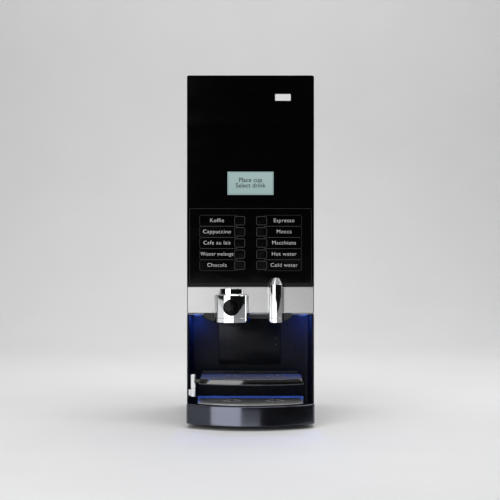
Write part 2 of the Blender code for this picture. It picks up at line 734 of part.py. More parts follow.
def make_water_pipe():
    high = CEILING_Z + PIPE_HEIGHT
    low = CEILING_UNDER - 0.0075
    tip_y = FRONT_Y + 0.0075
    corners = [
        (*PIPE_RISE, FLOOR_Z + GAP + BOILER_HEIGHT + 0.012 + GAP),
        (*PIPE_RISE, high),
        (WATER_X, MIXER_Y + 0.030, high),
        (WATER_X, PIPE_FALL_Y, high),
        (WATER_X, PIPE_FALL_Y, low),
        (WATER_X, tip_y, low),
        (WATER_X, tip_y, NOZZLE_BOTTOM + 0.0005),
    ]
    path = bent_path(corners[:5], PIPE_BEND)[:-1]
    path += bent_path(corners[3:], PIPE_TIP_BEND)[1:]
    pipe = tube("water_pipe", path, PIPE_RADIUS, STEEL)
    smooth(pipe)


# --- Works ----------------------------------------------------------------------------------------
def make_boiler():
    r, h = BOILER_RADIUS, BOILER_HEIGHT
    profile = [(0, h), (r - 0.012, h), (r - 0.003, h - 0.004), (r, h - 0.012), (r, 0.012), (r - 0.003, 0.004)]
    profile += [(r - 0.012, 0), (0, 0)]
    base = FLOOR_Z + GAP
    boiler = turned("boiler", profile, (BOILER_X, BOILER_Y, base), JACKET, steps=28)
    stub = rod("boiler_outlet", PIPE_RADIUS + 0.002, (*PIPE_RISE, base + h - 0.005), 0.017, steps=12)
    element = rod("element_flange", 0.020, (BOILER_X - 0.020, BOILER_Y, base + h - 0.005), 0.013)
    join(boiler, stub, element)
    smooth(boiler)


def make_inlet_valve():
    start = SERVICE_Y - 0.050
    profile = [
        (0, 0.0675),
        (INLET_RADIUS, 0.0675),
        (INLET_RADIUS, 0.0560),
        (INLET_FLANGE, 0.0560),
        (INLET_FLANGE, 0.0500 + GAP),
        (INLET_RADIUS, 0.0500 + GAP),
        (INLET_RADIUS, 0),
        (0, 0),
    ]
    valve = turned("inlet_valve", profile, (INLET_X, start, INLET_HEIGHT), STEEL, axis="Y", steps=20)
    bore = rod("inlet_bore", 0.008, (INLET_X, start + 0.045, INLET_HEIGHT), 0.03, axis="Y", steps=12)
    coil_y = (start + 0.006, start + 0.038)
    join(valve, box("valve_coil", around(INLET_X, 0.014), coil_y, (INLET_HEIGHT, INLET_HEIGHT + 0.045)))
    cut(valve, bore)
    smooth(valve)


def make_power_inlet():
    """A flanged module with a well for the switch beside the socket for the mains lead."""
    z = INLET_HEIGHT
    face = SERVICE_Y + GAP
    flange_x = (MODULE_X[0] - MODULE_FLANGE, MODULE_X[1] + MODULE_FLANGE)
    flange_z = around(z, MODULE_HALF + MODULE_FLANGE)
    inlet = box("power_inlet", flange_x, (face, face + 0.003), flange_z, DARK_PLASTIC)
    join(inlet, box("inlet_body", MODULE_X, (SERVICE_Y - MODULE_DEPTH, face + 0.001), around(z, MODULE_HALF)))
    socket_y = (face - SOCKET_DEPTH, face + 0.01)
    socket = box("socket_recess", around(SOCKET_X, SOCKET_WIDTH / 2), socket_y, around(z, SOCKET_HEIGHT / 2))
    well_x = around(SWITCH_X, SWITCH_WIDTH / 2 + RUN / 2)
    well_z = around(z, SWITCH_HEIGHT / 2 + RUN)
    well = box("switch_well", well_x, (face - SWITCH_WELL, face + 0.01), well_z)
    cut(inlet, socket, well)


def make_power_switch():
    """A rocker that tips about a sideways axis, and stands tipped to one side."""
    half = SWITCH_HEIGHT / 2
    outline = [(-0.005, -half + 0.003), (-0.005, half - 0.003), (0.002, half), (0.0035, half), (0.0015, 0)]
    outline += [(0.0035, -half), (0.002, -half)]
    rocker = plate("power_switch", [outline[::-1]], "X", -SWITCH_WIDTH / 2, SWITCH_WIDTH / 2, DARK_PLASTIC)
    tilt = Matrix.Rotation(-SWITCH_TILT, 3, "X")
    rocker.rotation_euler = (tilt @ Euler(TURNS["X"]).to_matrix()).to_euler()
    rocker.location = (SWITCH_X, SERVICE_Y + 0.001, INLET_HEIGHT)


def make_control_box():
    y = BULKHEAD_Y + FRAME_SHEET + GAP
    half = FRAME_HALF - CONTROL_SIDE
    levels = (CEILING_Z + CONTROL_LEVELS[0], CEILING_Z + CONTROL_LEVELS[1])
    case = box("control_box", (-half, half), (y, y + CONTROL_DEPTH), levels, DARK_PLASTIC)
    soften(case, 0.003)


def make_canister(index, x):
    """A hopper with sloping sides over the auger's trough, and a chute bent down ahead of it."""
    inner = CANISTER_WIDTH / 2 - CANISTER_WALL
    front, back = FRONT_Y + CANISTER_FRONT, FRONT_Y + CANISTER_BACK
    base, top = SHELF_Z + GAP, HEIGHT - LID_ROOM
    trough = AUGER_RADIUS + RUN
    canister = box(f"canister_{index}", around(x, CANISTER_WIDTH / 2), (front, back), (base, top), CLEAR)
    over = top + CANISTER_WALL
    slope_z = AUGER_Z + TROUGH_SLOPE
    slope = [(x - inner, over), (x - inner, slope_z), (x - trough, AUGER_Z)]
    slope += arc((x, AUGER_Z), trough, 180, 360, 8)[1:-1]
    slope += [(x + trough, AUGER_Z), (x + inner, slope_z), (x + inner, over)]
    hollow_y = (front + CANISTER_WALL, back - CANISTER_WALL)
    cut(canister, plate("canister_hollow", [slope], "Y", *hollow_y))
    mouth_y = front - CHUTE_REACH
    drop_x = CHUTE_PLACES[index - 1]
    corners = [(x, front + 0.001, AUGER_Z), (x, mouth_y, AUGER_Z)]
    corners += [(drop_x, mouth_y, AUGER_Z - CHUTE_SLANT), (drop_x, mouth_y, AUGER_Z - CHUTE_DROP)]
    join(canister, tube(f"chute_{index}", bent_path(corners, CHUTE_RADIUS + FRAME_LAP, 3), CHUTE_RADIUS))
    cut(canister, rod("auger_hole", AUGER_SHAFT + GAP, (x, back - 0.01, AUGER_Z), 0.02, axis="Y", steps=12))


def make_canister_lid(index, x):
    top = HEIGHT - LID_ROOM
    front, back = FRONT_Y + CANISTER_FRONT, FRONT_Y + CANISTER_BACK
    lid_x, lid_y = around(x, CANISTER_WIDTH / 2 + LID_PLAY), (front - RUN, back + RUN)
    lid_z = (top + GAP, top + GAP + LID_THICK)
    lid = box(f"canister_lid_{index}", lid_x, lid_y, lid_z, DARK_PLASTIC)
    inset = CANISTER_WALL + LID_PLAY
    plug_x, plug_y = around(x, CANISTER_WIDTH / 2 - inset), (front + inset, back - inset)
    join(lid, box("lid_plug", plug_x, plug_y, (top - LID_PLUG, top + GAP + LID_THICK / 2)))
    carry(f"lid_{index}_rise", Vector((x, (front + back) / 2, top)), lid)


def make_auger(index, x):
    front = FRONT_Y + CANISTER_FRONT + CANISTER_WALL + 0.004
    start = FRONT_Y + CANISTER_BACK - CANISTER_WALL - 0.006
    coil_radius = AUGER_RADIUS - AUGER_WIRE
    points_per_turn = 9
    count = AUGER_TURNS * points_per_turn
    path = []
    for i in range(count + 1):
        angle = 2 * math.pi * i / points_per_turn
        y = front + (start - front) * i / count
        path.append((x + coil_radius * math.cos(angle), y, AUGER_Z + coil_radius * math.sin(angle)))
    auger = tube(f"auger_{index}", path, AUGER_WIRE, CREAM, 1)
    hub = rod("auger_hub", AUGER_RADIUS - FRAME_LAP, (x, start - 0.0015, AUGER_Z), 0.005, axis="Y")
    shaft_end = BULKHEAD_Y + FRAME_SHEET + 0.006
    shaft = rod("auger_shaft", AUGER_SHAFT, (x, start, AUGER_Z), shaft_end - start, axis="Y", steps=12)
    join(auger, hub, shaft)
    smooth(auger)
    carry(f"auger_{index}_axis", Vector((x, start, AUGER_Z)), auger)


def socket_for(shaft_radius, x, start, z, depth):
    """A cutter for the blind hole that takes a shaft's end."""
    return rod("shaft_socket", shaft_radius + GAP, (x, start - 0.01, z), 0.01 + depth, axis="Y", steps=12)


def make_auger_drive():
    y = BULKHEAD_Y + FRAME_SHEET + GAP
    span = CANISTER_PITCH + 0.020
    radius, length = AUGER_MOTOR
    drive = box("auger_drive", (-span, span), (y, y + 0.020), around(AUGER_Z, 0.020), DARK_PLASTIC)
    for x in CANISTER_PLACES:
        join(drive, rod("auger_motor", radius, (x, y + 0.019, AUGER_Z), length, axis="Y"))
        cut(drive, socket_for(AUGER_SHAFT, x, y, AUGER_Z, 0.006))


def make_mixing_bowl(index, x):
    """A funnel over a round chamber for the whipper, with its outlet at the bottom."""
    wall = BOWL_WALL
    outlet_end = INLET_TOP + GAP - CHAMBER_Z
    outer = [
        (BOWL_RADIUS, BOWL_HEIGHT),
        (BOWL_RADIUS, BOWL_HEIGHT - 0.022),
        (CHAMBER_RADIUS, 0.024),
        (CHAMBER_RADIUS, -0.014),
        (OUTLET_RADIUS, -0.030),
        (OUTLET_RADIUS, outlet_end),
    ]
    inner = [(radius - wall, height) for radius, height in outer[::-1]]
    profile = outer + inner + [outer[0]]
    bowl = turned(f"mixing_bowl_{index}", profile, (x, BOWL_Y, CHAMBER_Z), CREAM, steps=20)
    hole = rod("whipper_hole", WHIPPER_SHAFT + GAP, (x, BOWL_Y, CHAMBER_Z), 0.03, axis="Y", steps=12)
    cut(bowl, hole)
    smooth(bowl)


def make_whipper(index, x):
    """A disc with crossed blades on the end of its shaft."""
    disc_at, shaft_at = (x, BOWL_Y - 0.001, CHAMBER_Z), (x, BOWL_Y, CHAMBER_Z)
    disc = rod(f"whipper_{index}", WHIPPER_RADIUS, disc_at, 0.002, DARK_PLASTIC, axis="Y", steps=16)
    shaft_end = MIXER_Y + FRAME_SHEET + 0.004
    join(disc, rod("whipper_shaft", WHIPPER_SHAFT, shaft_at, shaft_end - BOWL_Y, axis="Y", steps=12))
    reach = WHIPPER_RADIUS - 0.002
    blade_y = (BOWL_Y - WHIPPER_BLADE, BOWL_Y)
    join(disc, box("whipper_blade", around(x, reach), blade_y, around(CHAMBER_Z, 0.001)))
    join(disc, box("whipper_blade", around(x, 0.001), blade_y, around(CHAMBER_Z, reach)))
    carry(f"whipper_{index}_axis", Vector(shaft_at), disc)


def make_whipper_drive():
    y = MIXER_Y + FRAME_SHEET + GAP
    radius, length = WHIPPER_MOTOR
    span = (BOWL_PLACES[0] - 0.024, BOWL_PLACES[1] + 0.024)
    drive = box("whipper_drive", span, (y, y + 0.008), around(CHAMBER_Z, 0.024), DARK_PLASTIC)
    for x in BOWL_PLACES:
        join(drive, rod("whipper_motor", radius, (x, y + 0.007, CHAMBER_Z), length, axis="Y"))
        cut(drive, socket_for(WHIPPER_SHAFT, x, y, CHAMBER_Z, 0.0045))


# --- Door -----------------------------------------------------------------------------------------
def make_door_shell():
    chamfer = 0.004
    outline = [
        (-HALF, SHELL_FRONT_Y),
        (HALF, SHELL_FRONT_Y),
        (HALF, DOOR_REAR_Y - chamfer),
        (HALF - chamfer, DOOR_REAR_Y),
        (-HALF + chamfer, DOOR_REAR_Y),
        (-HALF, DOOR_REAR_Y - chamfer),
    ]
    shell = plate("door_shell", [outline], "Z", DOOR_BOTTOM, SHELL_TOP, SATIN_BLACK)
    wall = DOOR_WALL
    hollow_y = (SHELL_FRONT_Y + wall, DOOR_REAR_Y + LONG)
    hollow = box("door_hollow", around(0, HALF - wall), hollow_y, (DOOR_BOTTOM + wall, SHELL_TOP - wall))
    window_y = around(SHELL_FRONT_Y, 0.01)
    keypad_z = around(DOOR_BOTTOM + KEYPAD_BOTTOM + KEYPAD_HEIGHT / 2, KEYPAD_HEIGHT / 2 - KEYPAD_LEDGE)
    keypad_window = box("keypad_window", around(0, HALF - KEYPAD_INSET - KEYPAD_LEDGE), window_y, keypad_z)
    reach = DISPLAY_FLANGE + GAP
    display_z = around(DOOR_BOTTOM + DISPLAY_CENTRE, DISPLAY_HEIGHT / 2 + reach)
    display_window = box("display_window", around(0, DISPLAY_WIDTH / 2 + reach), window_y, display_z)
    cut(shell, hollow, keypad_window, display_window)
    for name, z in (("upper_pin_hole", SHELL_TOP), ("lower_pin_hole", DOOR_BOTTOM)):
        cut(shell, rod(name, PIN_RADIUS + GAP, (HINGE.x, HINGE.y, z - 0.01), 0.02, steps=12))
    cut(shell, rod("lock_hole", LOCK_RADIUS + GAP, (HALF - 0.01, LOCK_Y, LOCK_Z), 0.02, axis="X"))
    for wing in make_wings():
        join(shell, wing)


def make_wings():
    """The two short black ends below the door, beside the spout covers."""
    top = DOOR_BOTTOM + 0.001
    low = DOOR_BOTTOM - WING_DROP
    high = low + WING_SLOPE
    left_x = COFFEE_X - COFFEE_RADIUS - GAP
    right_x = WATER_X + WATER_RADIUS + GAP
    left_flat, right_flat = left_x + WING_FLATS[0], right_x - WING_FLATS[1]
    depth = (SHELL_FRONT_Y - FRAME_LAP / 2, SHELL_FRONT_Y + WING_DEPTH)
    left = [(left_x - WING_WIDTH, top), (left_x - WING_WIDTH, high), (left_x, low), (left_flat, low)]
    right = [(right_x + WING_WIDTH, top), (right_x + WING_WIDTH, high), (right_x, low), (right_flat, low)]
    wings = []
    for name, outline, x, y, radius in (
        ("left_wing", left + [(left_flat, top)], COFFEE_X, COFFEE_Y, COFFEE_RADIUS),
        ("right_wing", right + [(right_flat, top)], WATER_X, FRONT_Y, WATER_RADIUS),
    ):
        wing = plate(name, [outline], "Y", *depth)
        cut(wing, rod(name + "_bay", radius + GAP, (x, y, low - 0.01), 0.06, steps=40))
        wings.append(wing)
    trim_z = (low - 0.01, DOOR_BOTTOM)
    cut(wings[0], box("wing_trim", (left_x + FRAME_LAP, 0), (COFFEE_Y, 0), trim_z))
    tab_room_x, tab_room_y = (TAB_X[0] - RUN, TAB_X[1] + RUN), (TAB_Y[0] - RUN, TAB_Y[1])
    cut(wings[0], box("tab_room", tab_room_x, tab_room_y, (CEILING_UNDER - RUN, DOOR_BOTTOM)))
    cut(wings[1], box("wing_trim", (0, right_x - FRAME_LAP), (FRONT_Y + COVER_LAP, 0), trim_z))
    return wings


def make_door_panel():
    lower = BAND_TOP + GAP
    corners = [(-HALF, lower), (HALF, lower)]
    corners += arc((HALF - CORNER, HEIGHT - CORNER), CORNER, 0, 90, 5)
    corners += arc((-HALF + CORNER, HEIGHT - CORNER), CORNER, 90, 180, 5)
    half = HALF - KEYPAD_INSET + GAP
    keypad_z = (DOOR_BOTTOM + KEYPAD_BOTTOM - GAP, DOOR_BOTTOM + KEYPAD_BOTTOM + KEYPAD_HEIGHT + GAP)
    keypad_hole = rounded((-half, half), keypad_z, 0.002, 2)
    width, height = DISPLAY_WIDTH / 2 + GAP, DISPLAY_HEIGHT / 2 + GAP
    centre = DOOR_BOTTOM + DISPLAY_CENTRE
    display_hole = rounded((-width, width), (centre - height, centre + height), DISPLAY_CORNER, 2)
    plate("door_panel", [corners, keypad_hole, display_hole], "Y", FRONT_Y, FRONT_Y + DOOR_SKIN, GLOSS_BLACK)


def button_places():
    for row in range(BUTTON_ROWS):
        for column, x in zip(("left", "right"), BUTTON_COLUMNS):
            yield f"button_{column}_{row + 1}", x, DOOR_BOTTOM + BUTTON_TOP_ROW - row * BUTTON_PITCH


def make_keypad_panel():
    half = HALF - KEYPAD_INSET
    low, high = DOOR_BOTTOM + KEYPAD_BOTTOM, DOOR_BOTTOM + KEYPAD_BOTTOM + KEYPAD_HEIGHT
    edge = rounded((-half, half), (low, high), BUTTON_CORNER - GAP, 2)
    reach_x, reach_z = BUTTON_WIDTH / 2 + GAP, BUTTON_HEIGHT / 2 + GAP
    panel = plate("keypad_panel", [edge], "Y", FRONT_Y, FRONT_Y + KEYPAD_SHEET, GLOSS_BLACK)
    for name, x, z in button_places():
        hole = rounded(around(x, reach_x), around(z, reach_z), BUTTON_CORNER + GAP, 2)
        cut(panel, plate(name + "_hole", [hole], "Y", FRONT_Y - 0.01, FRONT_Y + 0.01))
    inside = rectangle(around(0, half - KEYPAD_RIB), (low + KEYPAD_RIB, high - KEYPAD_RIB))
    border = rectangle(around(0, half - FRAME_LAP), (low + FRAME_LAP, high - FRAME_LAP))
    rib_start = FRONT_Y + KEYPAD_SHEET - 2 * FRAME_LAP
    join(panel, plate("keypad_rib", [border, inside], "Y", rib_start, FRONT_Y + DOOR_SKIN))


def make_buttons():
    face = FRONT_Y - BUTTON_PROUD
    lip = FRONT_Y + KEYPAD_SHEET + GAP
    reach_x, reach_z = BUTTON_WIDTH / 2, BUTTON_HEIGHT / 2
    for name, x, z in button_places():
        cap_edge = rounded(around(x, reach_x), around(z, reach_z), BUTTON_CORNER, 3)
        button = plate(name, [cap_edge], "Y", face, lip + FRAME_LAP, GLOSS_BLACK)
        lip_edge = rectangle(around(x, reach_x + BUTTON_LIP), around(z, reach_z + BUTTON_LIP))
        join(button, plate(name + "_lip", [lip_edge], "Y", lip, lip + 0.0012))
        carry(name + "_press", Vector((x, face, z)), button)


def make_display():
    centre = DOOR_BOTTOM + DISPLAY_CENTRE
    half, height = DISPLAY_WIDTH / 2, DISPLAY_HEIGHT / 2
    edge = rounded(around(0, half), around(centre, height), DISPLAY_CORNER - GAP, 2)
    display = plate("display", [edge], "Y", FRONT_Y + GAP, SHELL_FRONT_Y + 0.002, SCREEN)
    body_x, body_z = around(0, half + DISPLAY_FLANGE), around(centre, height + DISPLAY_FLANGE)
    join(display, box("display_body", body_x, (SHELL_FRONT_Y, SHELL_FRONT_Y + DISPLAY_DEPTH), body_z))


def make_steel_band():
    """A sheet folded back along its top and bottom edges."""
    low, high = DOOR_BOTTOM + GAP, BAND_TOP
    back = FRONT_Y + DOOR_SKIN
    r, t = BAND_BEND, BAND_SHEET
    outline = [(back, low), (back, low + t)]
    outline += arc((FRONT_Y + r, low + r), r - t, 270, 180, 3)
    outline += arc((FRONT_Y + r, high - r), r - t, 180, 90, 3)
    outline += [(back, high - t), (back, high)]
    outline += arc((FRONT_Y + r, high - r), r, 90, 180, 3)
    outline += arc((FRONT_Y + r, low + r), r, 180, 270, 3)
    plate("steel_band", [outline], "X", -HALF + BAND_INSET, HALF - BAND_INSET, STEEL)


def inset_profile(profile, wall):
    """The same profile moved inwards by wall, from the axis down to the open bottom."""
    inner = [(0, profile[0][1] - wall)]
    for before, point, after in zip(profile, profile[1:], profile[2:]):
        first = Vector((point[0] - before[0], point[1] - before[1])).normalized()
        second = Vector((after[0] - point[0], after[1] - point[1])).normalized()
        middle = (first + second).normalized()
        reach = wall / middle.dot(first)
        inner.append((point[0] + middle[1] * reach, point[1] - middle[0] * reach))
    return inner + [(profile[-1][0] - wall, profile[-1][1])]


def spout_cover(name, shape, centre, rear, steps):
    """A turned cover, open below and behind, that lies against the door front."""
    radius, g = shape[-1][0], GROOVE
    ring = [(radius, -GROOVE_DROP + 2 * g), (radius - g, -GROOVE_DROP + g), (radius - g, -GROOVE_DROP)]
    ring.append((radius, -GROOVE_DROP - g))
    profile = shape[:-1] + ring + shape[-1:] + inset_profile(shape, SPOUT_WALL)[::-1]
    cover = turned(name, profile, centre, CHROME, steps=steps)
    front_rest = FRONT_Y - GAP
    cut(cover, box(name + "_upper_trim", (-LONG, LONG), (front_rest, LONG), (DOOR_BOTTOM - GAP, LONG * 2)))
    cut(cover, box(name + "_rear_trim", (-LONG, LONG), (rear, LONG), (0, DOOR_BOTTOM)))
    smooth(cover, 30)
    return cover


def make_coffee_spout_cover():
    r = COFFEE_RADIUS
    e, bend = SPOUT_EDGE, SHOULDER_BEND
    shape = [(0, CAP_TOP), (CAP_RADIUS - e, CAP_TOP), (CAP_RADIUS, CAP_TOP - e)]
    shape.append((CAP_RADIUS + e / 2, SHOULDER))
    shape += arc((r - bend, SHOULDER - bend), bend, 90, 0, 4) + [(r, -SPOUT_DROP)]
    spout_cover("coffee_spout_cover", shape, (COFFEE_X, COFFEE_Y, DOOR_BOTTOM), DOOR_REAR_Y - 0.003, 48)


def make_water_spout_cover():
    r = WATER_RADIUS
    e = SPOUT_EDGE
    shape = [(0, WATER_TOP), (WATER_TIP_RADIUS - e, WATER_TOP), (WATER_TIP_RADIUS, WATER_TOP - e)]
    shape += [(r - e / 2, WATER_TOP - WATER_CONE), (r, WATER_TOP - WATER_CONE - e), (r, -SPOUT_DROP)]
    spout_cover("water_spout_cover", shape, (WATER_X, FRONT_Y, DOOR_BOTTOM), FRONT_Y + COVER_LAP, 40)


def hang_door():
    """The door's pieces, and the empties of the pieces that move on it, hang on the hinge line."""
    names = ["door_shell", "door_panel", "keypad_panel", "display", "steel_band"]
    names += ["coffee_spout_cover", "water_spout_cover", "lock_axis"]
    names += [name + "_press" for name, _, _ in button_places()]
    carry("door_hinge", HINGE, *[bpy.data.objects[name] for name in names])


def make_door_lock():
    start = HALF - GAP - LOCK_LENGTH
    lock = rod("door_lock", LOCK_RADIUS, (start, LOCK_Y, LOCK_Z), LOCK_LENGTH, STEEL, axis="X")
    cam_x, cam_z = (start - 0.002, start + FRAME_LAP), (LOCK_Z - CAM_HALF, LOCK_Z + CAM_LENGTH)
    join(lock, box("lock_cam", cam_x, around(LOCK_Y, CAM_HALF), cam_z))
    smooth(lock)
    carry("lock_axis", Vector((start, LOCK_Y, LOCK_Z)), lock)


# --- Cup stand and drip tray ------------------------------------------------------------------------
def stand_outline(inset):
    half = (STAND_RIGHT - STAND_LEFT) / 2 - inset
    back = FRONT_Y + STAND_BACK - inset
    side = FRONT_Y - STAND_SIDE + inset
    nose = FRONT_Y - STAND_NOSE + inset
    return bowed(half, back, side, nose, GRID_CORNER - inset / 2, 16, (STAND_LEFT + STAND_RIGHT) / 2)


def cup_slots():
    """Rings of short drain slots under the two cup places."""
    slots = []
    turn = 360 / CUP_SLOTS
    for x in CUP_PLACES:
        centre = (x, FRONT_Y + CUP_BEHIND)
        for i in range(CUP_SLOTS):
            start, end = turn * (i + 1 / 6), turn * (i + 5 / 6)
            outer = arc(centre, CUP_RING, start, end, 2)
            slots.append(outer + arc(centre, CUP_RING - CUP_SLOT, end, start, 2))
    return slots


def make_stand_post():
    foot = POST_FOOT + RUN
    post_top = SLEEVE_TOP - SLEEVE_CAP - GAP
    post = rod("stand_post", POST_RADIUS, (POST_X, POST_Y, foot), post_top - foot, CHROME)
    boss_length = SLEEVE_BOTTOM - GAP - POST_FOOT
    boss = rod("post_boss", SLEEVE_RADIUS, (POST_X, POST_Y, POST_FOOT), boss_length, steps=20)
    lug_x, lug_y = (-NICHE_HALF + GAP, POST_X + RUN), (POST_Y + RUN, POST_Y + LUG_REACH)
    join(post, boss, box("post_lug", lug_x, lug_y, (POST_FOOT + 2 * RUN, SLEEVE_BOTTOM - 4 * RUN)))
    smooth(post)


def make_stand_sleeve(bottom):
    """The sleeve that turns on the post, with the arm that carries the stand."""
    at = (POST_X, POST_Y, SLEEVE_BOTTOM)
    sleeve = rod("stand_sleeve", SLEEVE_RADIUS, at, SLEEVE_TOP - SLEEVE_BOTTOM, steps=20)
    arm_x, arm_y = (POST_X, STAND_LEFT + STAND_RIM), (POST_Y - ARM_REACH / 2, POST_Y + ARM_REACH)
    arm = box("stand_arm", arm_x, arm_y, (bottom + STAND_NOSING, STAND_TOP - STAND_NOSING))
    return sleeve, arm


def make_stand_rail():
    """The upright rim along the back of the stand, sloped at its ends."""
    rail_y = FRONT_Y + STAND_BACK - FRAME_LAP
    root, crest = STAND_TOP - GRID_THICK, STAND_TOP + STAND_RAIL
    left, right = STAND_LEFT + STAND_NOSING, STAND_RIGHT - RAIL_END
    rail = [(left, root), (right, root), (right - RAIL_SLOPE, crest), (left + RAIL_SLOPE, crest)]
    return plate("stand_rail", [rail], "Y", rail_y - RAIL_THICK, rail_y)


def make_cup_stand():
    bottom = STAND_TOP - STAND_HEIGHT
    stand = plate("stand_tray", [stand_outline(0)], "Z", bottom, STAND_TOP, GLOSS_BLACK)
    soften(stand, STAND_NOSING, 3)
    join(stand, make_stand_rail(), *make_stand_sleeve(bottom))
    clear_of_top = STAND_TOP + STAND_RAIL * 2
    seat_outline, well_outline = stand_outline(STAND_RIM - GRID_PLAY), stand_outline(STAND_RIM + GRID_LEDGE)
    seat = plate("stand_seat", [seat_outline], "Z", STAND_TOP - GRID_THICK, clear_of_top)
    well = plate("stand_well", [well_outline], "Z", bottom + STAND_WALL, clear_of_top)
    bore_at = (POST_X, POST_Y, SLEEVE_BOTTOM - 0.01)
    bore = rod("sleeve_bore", POST_RADIUS + GAP, bore_at, SLEEVE_TOP - SLEEVE_CAP - SLEEVE_BOTTOM + 0.01)
    cut(stand, seat, well, bore)
    grid_z = (STAND_TOP - GRID_THICK + GAP, STAND_TOP + GAP)
    grid = plate("stand_grid", [stand_outline(STAND_RIM), *cup_slots()], "Z", *grid_z, STEEL)
    carry("stand_swing", Vector((POST_X, POST_Y, STAND_TOP)), stand)
    carry("stand_grid_rise", Vector((0, FRONT_Y, STAND_TOP)), grid)


def tray_outline(inset):
    """The tray is full width ahead of the cabinet and narrower between the cheeks of the niche."""
    side, nose = FRONT_Y - TRAY_SIDE + inset, FRONT_Y - TRAY_REACH + inset
    front = bowed(HALF - inset, FRONT_Y, side, nose, TRAY_CORNER - inset)
    rear_half = NICHE_HALF - RUN - inset
    step = FRONT_Y - RUN - inset
    back = NICHE_BACK_Y - RUN - inset
    corner = NICHE_CORNER
    loop = front[:-2] + [(HALF - inset, step), (rear_half, step)]
    loop += arc((rear_half - corner, back - corner), corner, 0, 90, 3)
    loop += arc((-rear_half + corner, back - corner), corner, 90, 180, 3)
    return loop + [(-rear_half, step), (-HALF + inset, step)]


def grid_outline(inset):
    back = FRONT_Y + GRID_BACK - inset
    side, nose = FRONT_Y - GRID_SIDE + inset, FRONT_Y - GRID_NOSE + inset
    return bowed(GRID_FRONT_HALF - inset, back, side, nose, GRID_CORNER, back_half=GRID_BACK_HALF - inset)


def make_drip_tray():
    bottom = FLOOR_Z + GAP
    seat_z = TRAY_TOP - TRAY_SEAT
    clear_of_top = TRAY_TOP + 0.01
    tray = plate("drip_tray", [tray_outline(0)], "Z", bottom, TRAY_TOP, GLOSS_BLACK)
    soften(tray, TRAY_NOSING)
    floor, roof = bottom + TRAY_WALL, TRAY_TOP - TRAY_WALL
    cavity = plate("tray_cavity", [tray_outline(TRAY_WALL)], "Z", floor, roof)
    opening = plate("tray_opening", [grid_outline(GRID_LEDGE)], "Z", floor + TRAY_WALL, clear_of_top)
    seat = plate("tray_seat", [grid_outline(-GRID_PLAY)], "Z", seat_z, clear_of_top)
    cut(tray, cavity, opening, seat)
    grid_z = (seat_z + GAP, seat_z + GAP + GRID_THICK)
    grid = plate("drip_grid", [grid_outline(0), *cup_slots()], "Z", *grid_z, STEEL)
    carry("tray_slide", Vector((0, FRONT_Y, bottom)), tray)
    carry("drip_grid_rise", Vector((0, FRONT_Y, TRAY_TOP)), grid)


# --- Assembly -------------------------------------------------------------------------------------
def main():
    make_base_pan()
    make_side_panels()
    make_top_cover()
    make_back_panel()
    make_inner_frame()
    make_feet()
    make_hinge_pins()
    make_niche_liner()
    make_splash_panel()
    make_light_bar()
    make_coffee_nozzle()
    make_water_pipe()
    make_boiler()
    make_inlet_valve()
    make_power_inlet()
    make_power_switch()
    make_control_box()
    for index, x in enumerate(CANISTER_PLACES, 1):
        make_canister(index, x)
        make_canister_lid(index, x)
        make_auger(index, x)
    make_auger_drive()
    for index, x in enumerate(BOWL_PLACES, 1):
        make_mixing_bowl(index, x)
        make_whipper(index, x)
    make_whipper_drive()
    make_door_shell()
    make_door_panel()
    make_keypad_panel()
    make_buttons()
    make_display()
    make_steel_band()
    make_coffee_spout_cover()
    make_water_spout_cover()
    make_door_lock()
    hang_door()
    make_stand_post()
    make_cup_stand()
    make_drip_tray()


main()
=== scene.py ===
"""Looks of a table-top hot drinks machine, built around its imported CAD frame.

Metres, +Z up, and the front faces -Y. Most pieces are placed from the boxes of the frame's nodes.
"""

import json
import math
import random

import bmesh
import bpy
from mathutils import Matrix, Vector


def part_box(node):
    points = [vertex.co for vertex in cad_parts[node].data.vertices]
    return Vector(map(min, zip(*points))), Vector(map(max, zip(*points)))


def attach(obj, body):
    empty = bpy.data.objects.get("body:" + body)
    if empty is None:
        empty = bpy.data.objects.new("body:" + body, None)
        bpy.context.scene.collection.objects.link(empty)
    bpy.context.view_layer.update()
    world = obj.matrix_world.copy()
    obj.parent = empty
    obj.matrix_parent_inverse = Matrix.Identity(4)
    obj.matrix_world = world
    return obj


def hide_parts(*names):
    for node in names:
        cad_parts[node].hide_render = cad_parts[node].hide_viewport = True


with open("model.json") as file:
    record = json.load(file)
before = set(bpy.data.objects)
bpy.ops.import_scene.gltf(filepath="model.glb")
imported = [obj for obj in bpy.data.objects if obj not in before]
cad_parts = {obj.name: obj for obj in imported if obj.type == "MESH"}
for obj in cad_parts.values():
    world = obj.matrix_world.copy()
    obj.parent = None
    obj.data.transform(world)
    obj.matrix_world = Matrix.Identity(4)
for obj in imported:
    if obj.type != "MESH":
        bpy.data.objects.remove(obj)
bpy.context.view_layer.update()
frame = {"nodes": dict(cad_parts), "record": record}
NODES = frame["nodes"]
BODY_OF = {node: body for body, nodes in frame["record"]["behaviour"]["bodies"].items() for node in nodes}
SLOT_OF = {part["node"]: part["material_slot"] for part in frame["record"]["subparts"]}

# --- Places taken from the frame -----------------------------------
PANEL_LOW, PANEL_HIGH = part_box("door_panel")
KEYPAD_LOW, KEYPAD_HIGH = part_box("keypad_panel")
DISPLAY_LOW, DISPLAY_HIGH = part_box("display")
BAND_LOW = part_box("steel_band")[0]
COFFEE_LOW, COFFEE_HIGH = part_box("coffee_spout_cover")
WATER_LOW, WATER_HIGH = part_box("water_spout_cover")
SPLASH_LOW, SPLASH_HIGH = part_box("splash_panel")
LINER_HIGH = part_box("niche_liner")[1]
BACK_LOW, BACK_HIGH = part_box("back_panel")
SIDE_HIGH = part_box("side_panel_right")[1]
GRID_LOW, GRID_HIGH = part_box("drip_grid")
TRAY_LOW, TRAY_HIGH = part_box("drip_tray")
STAND_LOW, STAND_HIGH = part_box("stand_tray")
REST_LOW, REST_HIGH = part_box("stand_grid")
LIGHT_LOW, LIGHT_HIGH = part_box("light_bar")
